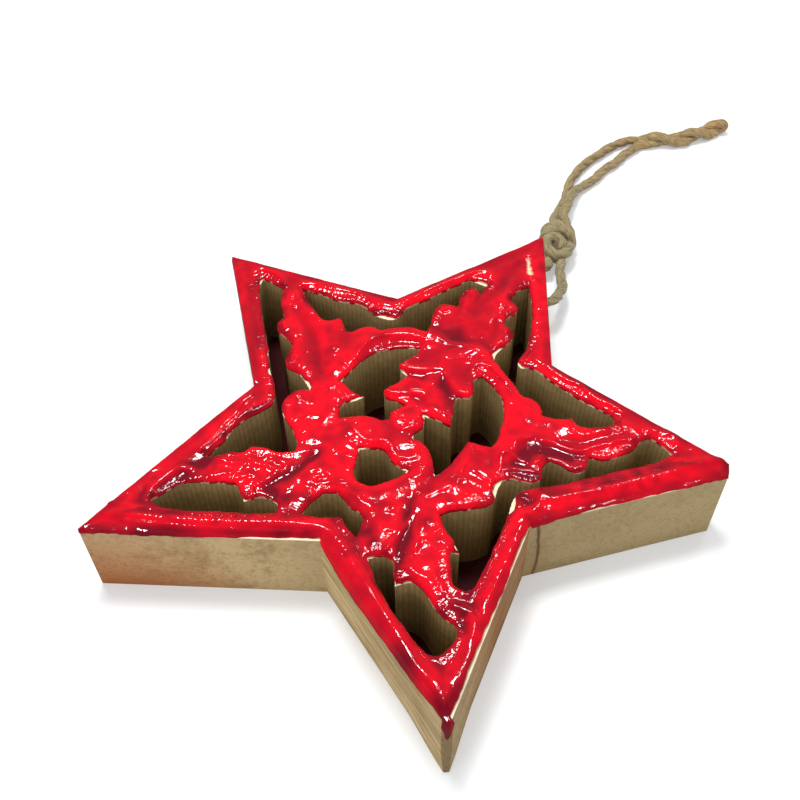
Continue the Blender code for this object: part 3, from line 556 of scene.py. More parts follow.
def smooth_route(points: list[Vector], spacing: float) -> list[Vector]:
    """A smooth route through given points.

    Args:
        points: The points that it passes through.
        spacing: About how far apart its own points lie.

    Returns:
        The points of the route.
    """
    route = []
    last = len(points) - 1
    for index in range(last):
        start = points[index]
        end = points[index + 1]
        before = points[max(index - 1, 0)]
        after = points[min(index + 2, last)]
        steps = max(1, round((end - start).length / spacing))
        for step in range(steps):
            route.append(spline_point(before, start, end, after, step / steps))
    route.append(points[last])
    return route


def distance_to_route(places: np.ndarray, route: np.ndarray) -> np.ndarray:
    """How far each place lies from a route of straight steps, in plan."""
    nearest = np.full(len(places), np.inf)
    for start, end in zip(route[:-1], route[1:]):
        along = end - start
        share = np.clip((places - start) @ along / max(along @ along, 1e-18), 0.0, 1.0)
        gap = places - start - share[:, None] * along
        nearest = np.minimum(nearest, np.hypot(gap[:, 0], gap[:, 1]))
    return nearest


@dataclass
class Outline:
    """A closed line in plan with its points close together and the material on its left.

    Points are in metres; outward point away from the material and are longer at corners, so
    that a line moved along them keeps its distance. Corners marks the sharp ones.
    """

    points: np.ndarray
    outward: np.ndarray
    corners: np.ndarray
    is_outer: bool

    @classmethod
    def through(cls, corners: list[Vector], spacing: float, sharp: float, outer: bool
                ) -> "Outline":
        """A close-pointed outline through the corners of a coarse one.

        Args:
            corners: The coarse outline's corners, with the material on their left.
            spacing: How far apart the new points lie.
            sharp: The turn, in radians, past which a corner stays a corner.
            outer: Whether it is the outer edge of the star.

        Returns:
            The outline.
        """
        count = len(corners)
        turned = []
        for index in range(count):
            back = corners[index] - corners[index - 1]
            ahead = corners[(index + 1) % count] - corners[index]
            turned.append(back.angle(ahead) > sharp)
        points = []
        marks = []
        for index in range(count):
            start = corners[index]
            end = corners[(index + 1) % count]
            before = start if turned[index] else corners[index - 1]
            after = end if turned[(index + 1) % count] else corners[(index + 2) % count]
            steps = max(1, round((end - start).length / spacing))
            for step in range(steps):
                points.append(spline_point(before, start, end, after, step / steps))
                marks.append(turned[index] and step == 0)
        places = np.array([(point.x, point.y) for point in points])
        return cls.from_points(places, np.array(marks), outer)

    @classmethod
    def from_points(cls, points: np.ndarray, corners: np.ndarray, outer: bool) -> "Outline":
        """An outline with its outward directions worked out from its points."""
        steps = np.roll(points, -1, axis=0) - points
        steps /= np.maximum(np.hypot(steps[:, 0], steps[:, 1]), 1e-12)[:, None]
        normals = np.stack([steps[:, 1], -steps[:, 0]], axis=1)
        before = np.roll(normals, 1, axis=0)
        agree = np.maximum(1.0 + (normals * before).sum(axis=1), 0.35)
        return cls(points, (normals + before) / agree[:, None], corners, outer)

    def moved(self, distances: np.ndarray) -> "Outline":
        """The outline with each point moved outward by its own distance."""
        return Outline.from_points(self.points + self.outward * distances[:, None],
                                   self.corners, self.is_outer)

    def along(self) -> np.ndarray:
        """How far each point lies along the line, with the whole length at its end."""
        steps = np.roll(self.points, -1, axis=0) - self.points
        return np.concatenate([[0.0], np.cumsum(np.hypot(steps[:, 0], steps[:, 1]))])


class StarPlan:
    """The outlines of the star and its ten openings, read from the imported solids."""

    merge = 1e-6
    spacing = 0.00025
    sharp_turn = math.radians(48)
    tip_width = 0.0035
    tips_drawn_out = (0.2, 0.6, 0.7, 0.6, 0.12)
    tips_set_back = (0.0, 0.0, 0.0, 0.0012, 0.0)

    def __init__(self) -> None:
        """Read the outlines from the frame's own nodes."""
        outer = max(self.loops("star_frame", 0.0, -1), key=self.extent)
        coat_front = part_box("red_coat")[1].z
        coat_loops = self.loops("red_coat", coat_front, 1)
        openings = sorted(coat_loops, key=self.extent)[:-1]
        self.outer = Outline.through(
            self.drawn_out(self.turned_round(outer, 1)), self.spacing, self.sharp_turn, True)
        self.openings = [
            Outline.through(self.turned_round(loop, -1), self.spacing, self.sharp_turn, False)
            for loop in openings]
        log.info("star plan: %d openings", len(self.openings))

    def drawn_out(self, loop: list[Vector]) -> list[Vector]:
        """The star's outline with its blunt tips drawn out nearly to a point."""
        result = list(loop)
        count = len(loop)
        for index in range(count):
            left = loop[index]
            right = loop[(index + 1) % count]
            if (right - left).length < self.tip_width:
                tip = (side_place(left)[0] + 1) // 2 % 5
                share = self.tips_drawn_out[tip]
                before = loop[index - 1]
                after = loop[(index + 2) % count]
                meeting = geometry.intersect_line_line(
                    before.to_3d(), left.to_3d(), after.to_3d(), right.to_3d())[0].to_2d()
                meeting -= meeting.normalized() * self.tips_set_back[tip]
                result[index] = left.lerp(meeting, share)
                result[(index + 1) % count] = right.lerp(meeting, share)
        return result

    def loops(self, node: str, height: float, side: int) -> list[list[Vector]]:
        """The closed edges of a node's flat face.

        Args:
            node: The node's name.
            height: The height of the flat face.
            side: 1 for a face that looks up and -1 for one that looks down.

        Returns:
            The corners of each closed edge, in order.
        """
        shape = bmesh.new()
        shape.from_mesh(frame["nodes"][node].data)
        bmesh.ops.remove_doubles(shape, verts=shape.verts[:], dist=self.merge)
        shape.normal_update()
        flat = {face for face in shape.faces
                if face.normal.z * side > 0.99
                and abs(face.calc_center_median().z - height) < 1e-5}
        follow: dict[int, list[int]] = {}
        places = {}
        for edge in shape.edges:
            if sum(face in flat for face in edge.link_faces) == 1:
                a, b = edge.verts
                follow.setdefault(a.index, []).append(b.index)
                follow.setdefault(b.index, []).append(a.index)
                places[a.index] = a.co.xy.copy()
                places[b.index] = b.co.xy.copy()
        shape.free()
        found = []
        left = set(follow)
        while left:
            start = left.pop()
            chain = [start]
            here = start
            while True:
                onward = [step for step in follow[here] if step in left]
                if not onward:
                    break
                here = onward[0]
                left.discard(here)
                chain.append(here)
            found.append(self.corners_of([places[step] for step in chain]))
        return found

    @staticmethod
    def corners_of(chain: list[Vector]) -> list[Vector]:
        """The chain without the points that lie on straight stretches."""
        kept = []
        for index, point in enumerate(chain):
            back = point - chain[index - 1]
            ahead = chain[(index + 1) % len(chain)] - point
            if back.length > 1e-7 and back.angle(ahead, 0.0) > 1e-3:
                kept.append(point)
        return kept

    @staticmethod
    def extent(loop: list[Vector]) -> float:
        """How wide a closed line is."""
        return max(point.x for point in loop) - min(point.x for point in loop)

    @staticmethod
    def turned_round(loop: list[Vector], way: int) -> list[Vector]:
        """The loop counter-clockwise (1) or clockwise (-1)."""
        area = sum(a.x * b.y - a.y * b.x for a, b in zip(loop, loop[1:] + loop[:1]))
        return loop if area * way > 0 else list(reversed(loop))


class RowTest:
    """Says which places lie on material, by counting the outlines crossed along a row."""

    def __init__(self, outlines: list[Outline]) -> None:
        """Keep the outlines' straight steps."""
        self.starts = np.concatenate([line.points for line in outlines])
        self.ends = np.concatenate([np.roll(line.points, -1, axis=0) for line in outlines])

    def crossings(self, y: float) -> np.ndarray:
        """The sorted places where the row at y meets the outlines."""
        meets = (self.starts[:, 1] > y) != (self.ends[:, 1] > y)
        a = self.starts[meets]
        b = self.ends[meets]
        return np.sort(a[:, 0] + (y - a[:, 1]) / (b[:, 1] - a[:, 1]) * (b[:, 0] - a[:, 0]))

    def inside(self, xs: np.ndarray, ys: np.ndarray) -> np.ndarray:
        """Which of the places lie on material; places of one row share their y."""
        result = np.zeros(len(xs), bool)
        for y in np.unique(ys):
            row = ys == y
            result[row] = np.searchsorted(self.crossings(y + 1e-8), xs[row]) % 2 == 1
        return result


def tree_of(points: np.ndarray) -> KDTree:
    """A search tree over plan points."""
    tree = KDTree(len(points))
    for index, (x, y) in enumerate(points):
        tree.insert((x, y, 0.0), index)
    tree.balance()
    return tree


def to_mesh(shape: Shape, name: str) -> bpy.types.Mesh:
    """A mesh of the finished shape, which is let go."""
    mesh = bpy.data.meshes.new(name)
    shape.to_mesh(mesh)
    shape.free()
    return mesh


def linked(name: str, data: bpy.types.ID) -> bpy.types.Object:
    """A new object in the scene."""
    made = bpy.data.objects.new(name, data)
    bpy.context.scene.collection.objects.link(made)
    return made


def add_piece(name: str, mesh: bpy.types.Mesh, material: bpy.types.Material, body: str,
              nodes: tuple[str, ...] = ()) -> bpy.types.Object:
    """Link a finished piece, dress it and let it ride on its body.

    Args:
        name: The piece's name.
        mesh: Its mesh, with its place in its corners.
        material: Its finish.
        body: The body that it rides on.
        nodes: The nodes that it stands for.

    Returns:
        The new object.
    """
    mesh.materials.append(material)
    piece = linked(name, mesh)
    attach(piece, body)
    if nodes:
        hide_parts(*nodes)
    log.info("%s: %d faces", name, len(mesh.polygons))
    return piece


@dataclass
class Rim:
    """One border of the enamel sheet, its corners spread evenly along an outline."""

    corners: list[Corner]
    spots: np.ndarray
    outward: np.ndarray
    along: np.ndarray
    is_outer: bool


@dataclass
class EnamelCoat:
    """The thick coat that was poured over the sawn star and ran a little way down its walls."""

    wood_top: float = 0.018
    grid: float = 0.00028
    rim_start: float = 0.0001
    body: float = 0.00080
    inner_edge: float = 0.00040
    inner_width: float = 0.0007
    outer_width: float = 0.0022
    lump_rise: float = 0.00007
    lump_size: float = 0.0026
    fine_rise: float = 0.00003
    skirt_width: float = 0.0027
    crumple_rise: float = 0.00026
    edge_wander: float = 0.00014
    bare_retreat: float = 0.0008
    outer_lap: float = 0.00022
    even_rounds: int = 40
    line_spacing: float = 0.0008
    line_reach: float = 2.4
    broad_from: float = 1.7
    warp_size: float = 0.0021
    ragged_size: float = 0.0006
    ragged_near: tuple[float, float] = (0.0005, 0.003)
    most_pooled: float = 0.8
    thinnest: float = 0.00014
    thin_under: float = 0.0004
    pale_over: float = 0.0006
    lines_from: float = 0.0007
    by_wall: float = 0.0012
    shaded_strip_inside: tuple[float, ...] = (0.0026, 0.0042, 0.008, 0.0115)
    shaded_middle_inside: tuple[float, float] = (0.0005, 0.0022)
    crest_parts: tuple[float, ...] = (0.02, 0.14, 0.86, 0.98)
    fold_size: float = 0.0030
    beside_opening: float = 0.0016
    crest_inside: float = 0.003
    crest_width: float = 0.0011
    bubble_rim: float = 0.0002
    bubble_pit: float = 0.00022
    least_run: float = 0.00006
    longest_bulge: float = 0.0015

    def build(self, plan: StarPlan, material: bpy.types.Material) -> bpy.types.Object:
        """Make the coat and dress it.

        Args:
            plan: The outlines of the star.
            material: The enamel.

        Returns:
            The coat's object.
        """
        self.edges = [self.wandering(line) for line in [plan.outer, *plan.openings]]
        self.feet = np.concatenate([line.points for line in self.edges])
        self.foot_line = np.concatenate(
            [np.full(len(line.points), number) for number, line in enumerate(self.edges)])
        self.foot_along = np.concatenate([line.along()[:-1] for line in self.edges])
        self.tree = tree_of(self.feet)
        self.outer_tree = tree_of(self.edges[0].points)
        self.inner_tree = tree_of(np.concatenate([line.points for line in self.edges[1:]]))
        shape = bmesh.new()
        self.marks = {name: shape.verts.layers.float.new(name)
                      for name in ("pool", "bare", "edge_run", "edge_near", "crumpled")}
        self.lay_sheet(shape)
        rims = [self.even_rim(chain) for chain in self.borders(shape)]
        self.sculpt(shape)
        for rim in rims:
            self.roll(shape, rim)
        bmesh.ops.recalc_face_normals(shape, faces=shape.faces[:])
        mesh = to_mesh(shape, "poured_enamel")
        mesh.shade_smooth()
        return add_piece("poured_enamel", mesh, material, "star", ("red_coat",))

    def wandering(self, line: Outline) -> Outline:
        """The enamel's own edge: it wanders by the wood's edge and shrinks from bare places."""
        shifts = np.zeros(len(line.points))
        for index, (x, y) in enumerate(line.points):
            place = Vector((x, y, 0.0))
            wander = ripple(place, 0.0021, 3.0) + 0.5 * ripple(place, 0.0008, 9.0)
            if line.is_outer:
                shifts[index] = 0.15 * self.edge_wander * wander
                shifts[index] += min(0.0, side_run(place))
            else:
                shifts[index] = self.edge_wander * wander
        if not line.is_outer:
            for spot in BARE_EDGES:
                share = 1.0 - smoothstep(0.4 * spot.radius * UNIT, spot.radius * UNIT,
                                         spot.away(line.points))
                shifts -= share * min(self.bare_retreat, 0.3 * spot.radius * UNIT)
        return line.moved(shifts)

    def lay_sheet(self, shape: Shape) -> None:
        """A flat sheet over the star's material, cut back to squares that lie on it."""
        low = self.feet.min(axis=0) - self.grid
        high = self.feet.max(axis=0) + self.grid
        counts = np.ceil((high - low) / self.grid).astype(int)
        middle = (low + high) / 2
        size = Matrix.Diagonal((counts[0] * self.grid, counts[1] * self.grid, 1.0, 1.0))
        place = Matrix.Translation((middle[0], middle[1], self.wood_top)) @ size
        bmesh.ops.create_grid(
            shape, x_segments=int(counts[0]), y_segments=int(counts[1]), size=0.5, matrix=place)
        shape.verts.ensure_lookup_table()
        xs = np.array([corner.co.x for corner in shape.verts])
        ys = np.array([corner.co.y for corner in shape.verts]).round(9)
        inside = RowTest(self.edges).inside(xs, ys)
        away = np.zeros(len(xs))
        for index in np.flatnonzero(inside):
            away[index] = self.tree.find((xs[index], ys[index], 0.0))[2]
        kept = inside & (away > 0.3 * self.grid)
        lost = [corner for corner, stays in zip(shape.verts, kept) if not stays]
        while lost:
            bmesh.ops.delete(shape, geom=lost, context="VERTS")
            lost = [corner for corner in shape.verts
                    if sum(edge.is_boundary for edge in corner.link_edges) > 2
                    or not corner.link_faces]

    @staticmethod
    def borders(shape: Shape) -> list[list[Corner]]:
        """The sheet's closed borders, each as its corners in order, material on the left."""
        follow = {}
        for edge in shape.edges:
            if edge.is_boundary:
                loop = edge.link_loops[0]
                follow[loop.vert] = loop.link_loop_next.vert
        chains = []
        while follow:
            start, here = follow.popitem()
            chain = [start]
            while here is not start:
                chain.append(here)
                here = follow.pop(here)
            chains.append(chain)
        return chains

    def even_rim(self, chain: list[Corner]) -> Rim:
        """Spread a border's corners evenly along the enamel's edge, with one on each corner.

        Args:
            chain: The border's corners in order.

        Returns:
            The border with its places on the edge.
        """
        feet = [self.tree.find((corner.co.x, corner.co.y, 0.0))[1] for corner in chain]
        line = self.edges[int(np.bincount(self.foot_line[feet]).argmax())]
        tree = tree_of(line.points)
        along = line.along()
        length = along[-1]
        raw = np.array([along[tree.find((corner.co.x, corner.co.y, 0.0))[1]]
                        for corner in chain])
        steps = np.diff(raw)
        steps -= length * np.round(steps / length)
        places = raw[0] + np.concatenate([[0.0], np.cumsum(steps)])
        for _ in range(self.even_rounds):
            before = np.roll(places, 1)
            before[0] -= length
            after = np.roll(places, -1)
            after[-1] += length
            places = 0.5 * places + 0.25 * (before + after)
        for corner in along[:-1][line.corners]:
            gaps = (places - corner + length / 2) % length - length / 2
            nearest = int(np.abs(gaps).argmin())
            places[nearest] -= gaps[nearest]
        wrapped = places % length
        points = np.vstack([line.points, line.points[:1]])
        outward = np.vstack([line.outward, line.outward[:1]])
        spots = np.stack([np.interp(wrapped, along, points[:, axis]) for axis in (0, 1)], 1)
        ways = np.stack([np.interp(wrapped, along, outward[:, axis]) for axis in (0, 1)], 1)
        for corner, spot, way in zip(chain, spots, ways):
            corner.co.x = spot[0] - way[0] * self.rim_start
            corner.co.y = spot[1] - way[1] * self.rim_start
        return Rim(chain, spots, ways, wrapped, line.is_outer)

    def sculpt(self, shape: Shape) -> None:
        """Raise the sheet to the enamel's relief; note its pooling, painted shade and bare wood.
        """
        corners = list(shape.verts)
        places = np.array([(corner.co.x, corner.co.y) for corner in corners])
        away = np.array([self.tree.find((x, y, 0.0))[2] for x, y in places])
        flat = [Vector((x, y, 0.0)) for x, y in places]
        warp = np.array([ripple(place, self.warp_size, 41.0) for place in flat])
        ragged = np.array([ripple(place, self.ragged_size, 43.0) for place in flat])
        broad, narrow, sink, dark, bare = self.drawn(places, warp, ragged)
        dark = self.most_pooled * dark
        creased = self.creased(places) * (1.0 - dark)
        rise = broad + narrow - sink + self.bubbles(places)
        ragged_from, ragged_to = self.ragged_near
        for index, (corner, place) in enumerate(zip(corners, flat)):
            _, outer_foot, outside = self.outer_tree.find(place)
            _, inner_foot, inside = self.inner_tree.find(place)
            base = self.body
            if outside < self.outer_width:
                edge = from_table(SIDE_HEIGHTS, place) * MILLIMETRE
                base += (edge - self.body) * smooth(self.outer_width, 0.0, outside)
            if inside < self.inner_width:
                base -= (base - self.inner_edge) * (1.0 - inside / self.inner_width) ** 2
            lumps = self.lump_rise * ripple(place, self.lump_size, 1.0)
            fine = self.fine_rise * ragged[index] * smooth(ragged_to, ragged_from, away[index])
            calm = 1.0 - 0.8 * dark[index]
            if creased[index] > 0.0:
                fold = max(0.0, 1.0 - 2.0 * abs(ripple(place, self.fold_size, 83.0)))
                lumps += creased[index] * self.crumple_rise * fold
            line_share = smooth(0.0, self.lines_from, inside)
            height = base + rise[index] * (0.35 + 0.65 * line_share) + (lumps + fine) * calm
            corner.co.z = self.wood_top + max(height, self.thinnest)
            # Enamel that lies low and thin, in the hollows, adds a little painted shade.
            low = 1.0 - min(1.0, max(0.0, (height - self.thin_under) / self.thin_under))
            raised_by = min(1.0, (narrow[index] + broad[index]) / self.pale_over)
            shade = dark[index] * (1.0 - 0.8 * raised_by)
            # Painted shade with pooled enamel: the skirt by the outer edge is darkened.
            skirt = smooth(self.skirt_width, 0.0005, outside)
            edge = skirt * side_shade(place) if skirt > 0.0 else 0.0
            side, part = side_place(place)
            near_side = side in NEAR_SIDES
            # Painted shade: a strip is darkened on the sides that face the camera and by the
            # openings' walls.
            if near_side or inside < self.by_wall:
                shaded_strip = within(self.shaded_strip_inside, outside)
                shade = max(shade, shaded_strip * (0.5 + 0.3 * warp[index]))
            # Painted shade with pooled enamel: the middle of each part, away from the openings,
            # is darker.
            middle = smooth(*self.shaded_middle_inside, inside) * (0.12 + 0.22 * warp[index])
            by_opening = math.exp(-((inside / self.beside_opening) ** 2))
            on_crest = 0.0
            if near_side:
                from_crest = (outside - self.crest_inside) / self.crest_width
                on_crest = math.exp(-(from_crest ** 2))
            on_crest *= within(self.crest_parts, part)
            foot = outer_foot if on_crest > by_opening else len(self.edges[0].points) + inner_foot
            note(corner, self.marks, bare=bare[index], crumpled=creased[index],
                 pool=min(1.0, max(shade, edge, middle) + 0.12 * low),
                 edge_run=self.foot_along[foot], edge_near=abs(by_opening - on_crest))

    def drawn(self, places: np.ndarray, warp: np.ndarray, ragged: np.ndarray
              ) -> tuple[np.ndarray, ...]:
        """What the sculpted lines do at the places.

        Args:
            places: The places in plan.
            warp: A soft noise at each.
            ragged: A fine noise at each.

        Returns:
            The broad and the narrow relief, the sunken one, how dark the enamel goes, as pooled
            enamel and painted shade, and how bare the wood shows.
        """
        broad, narrow, sink, dark, bare = np.zeros((5, len(places)))
        for line in ALL_LINES:
            points = [Vector((x, y, 0.0)) * UNIT for x, y in line.points]
            route = np.array([(p.x, p.y) for p in smooth_route(points, self.line_spacing)])
            reach = self.line_reach * line.width * UNIT
            near = ((places > route.min(axis=0) - reach)
                    & (places < route.max(axis=0) + reach)).all(axis=1)
            gap = distance_to_route(places[near], route) / (line.width * UNIT)
            profile = np.exp(-gap * gap)
            relief = narrow if line.width < self.broad_from else broad
            layer = sink if line.lay is Lay.SUNKEN else relief
            layer[near] = np.maximum(layer[near], profile * line.height * UNIT)
            # Pooled enamel and painted shade darken the colour along the line.
            pooled = np.exp(-0.5 * (gap + 0.4 * warp[near]) ** 2) * line.dark
            dark[near] = np.maximum(dark[near], pooled)
            bare[near] = np.maximum(bare[near], smoothstep(
                1.15, 0.75, gap + 0.45 * ragged[near]) * line.bare)
        return broad, narrow, sink, dark, bare

    @staticmethod
    def creased(places: np.ndarray) -> np.ndarray:
        """How crumpled the enamel is at the places, from 0 to 1."""
        share = np.zeros(len(places))
        for spot in CRUMPLED:
            radius = spot.radius * UNIT
            share = np.maximum(share, smoothstep(radius, 0.5 * radius, spot.away(places)))
        return share

    def bubbles(self, places: np.ndarray) -> np.ndarray:
        """The rims and pits of burst bubbles at the places."""
        rise = np.zeros(len(places))
        for spot in BUBBLES:
            share = spot.away(places) / (spot.radius * UNIT)
            rise += self.bubble_rim * np.exp(-((share - 1.0) / 0.35) ** 2)
            rise -= self.bubble_pit * np.exp(-(share / 0.5) ** 2)
        return rise

    def outer_steps(self, place: Vector, crest: float) -> list[tuple[float, ...]]:
        """Steps of the enamel over the outer edge.

        Args:
            place: The place on the edge.
            crest: How high the enamel stands over the wood just inside the edge.

        Returns:
            For each step its distance out from the edge, its height over the wood's top, how
            dark it goes, as pooled enamel and painted shade, and how bare it is.
        """
        run = max(self.least_run, side_run(place))
        lap = self.outer_lap * min(1.0, run / 0.0005)
        shade = side_shade(place)
        # Painted shade: the skirt is darker still low down, under its curled lip.
        deep = min(1.0, shade + 0.3)
        bulge = (0.42 if side_place(place)[0] in NEAR_SIDES else 0.08) * run
        bulge *= min(1.0, (self.longest_bulge / run) ** 3)
        return [
            (0.1 * lap, crest * 0.84, shade, 0.0), (0.45 * lap, crest * 0.56, shade, 0.0),
            (0.75 * lap, crest * 0.12, shade, 0.0), (lap + 0.4 * bulge, -0.3 * run, shade, 0.0),
            (lap + 0.75 * bulge, -0.6 * run, shade, 0.0), (lap + bulge, -0.88 * run, deep, 0.0),
            (0.8 * lap + 0.7 * bulge, -run, deep, 0.0), (-0.00006, -run - 0.00004, deep, 1.0),
        ]

    def inner_steps(self, place: Vector, crest: float) -> list[tuple[float, ...]]:
        """Steps of the enamel over the edge of an opening, as for the outer edge."""
        bare = self.bareness(place)
        lip = (0.00016 + 0.00012 * ripple(place, 0.0016, 33.0)) * (1.0 - bare)
        crumb = smooth(0.25, 0.6, ripple(place, 0.0011, 37.0) + 0.4 * ripple(place, 0.005, 5.0))
        # Painted shade: the enamel darkens as it rolls down over the opening's edge.
        return [
            (0.00001, crest * 0.80, 0.2, 0.0), (0.00006, crest * 0.42, 0.3, 0.6 * crumb),
            (0.00008, crest * 0.08, 0.4, crumb), (0.00006, -lip, 0.4, crumb),
            (-0.00006, -lip - 0.00003, 0.4, crumb),
        ]

    @staticmethod
    def bareness(place: Vector) -> float:
        """How bare the wood's edge is at a place, from 0 to 1."""
        most = 0.0
        for spot in BARE_EDGES:
            away = math.hypot(place.x - spot.x * UNIT, place.y - spot.y * UNIT)
            most = max(most, 1.0 - smooth(0.85, 1.25, away / (spot.radius * UNIT)))
        return most

    def roll(self, shape: Shape, rim: Rim) -> None:
        """Roll the enamel over one edge by extruding its border step by step."""
        make_steps = self.outer_steps if rim.is_outer else self.inner_steps
        paths = [make_steps(Vector((spot[0], spot[1], 0.0)), corner.co.z - self.wood_top)
                 for spot, corner in zip(rim.spots, rim.corners)]
        numbers = {corner: number for number, corner in enumerate(rim.corners)}
        edges = list(dict.fromkeys(edge for corner in rim.corners
                                   for edge in corner.link_edges if edge.is_boundary))
        for step in range(len(paths[0])):
            numbers, edges = extruded(shape, edges, numbers)
            for corner, number in numbers.items():
                out, height, pool, bare = paths[number][step]
                spot = rim.spots[number] + rim.outward[number] * out
                corner.co = (spot[0], spot[1], self.wood_top + height)
                note(corner, self.marks, pool=pool, bare=bare, edge_run=rim.along[number],
                     edge_near=0.0 if rim.is_outer else 1.0)


class WallSpot:
    """A place on a wall of the board, with what the wall does there."""

    front_arm = Vector((0.5904, -0.8071))
    tip_from = 0.052
    tip_full = 0.0622

    def __init__(self, line: Outline, number: int, along: float, length: float) -> None:
        """Work the place out once for all levels.

        Args:
            line: The outline that the wall follows.
            number: The number of its point.
            along: How far the point lies along the line.
            length: The whole length of the line.
        """
        self.point = Vector(line.points[number])
        self.outward = Vector(line.outward[number])
        self.along = along
        self.length = length
        self.outer = line.is_outer
        self.side, self.share = side_place(self.point)
        place = self.point.to_3d()
        self.phase = 0.7 * ripple(place, 0.009, 51.0)
        self.wander = 0.00003 * ripple(place, 0.004, 51.0)
        self.rib = 0.5 * (math.sin(2.0 * math.pi * along / SAW_PITCH + self.phase) - 1.0)
        self.rib *= 0.7 + 0.4 * ripple(place, 0.0035, 57.0)
        self.front_tip = self.outer and self.point.dot(self.front_arm) > self.tip_from


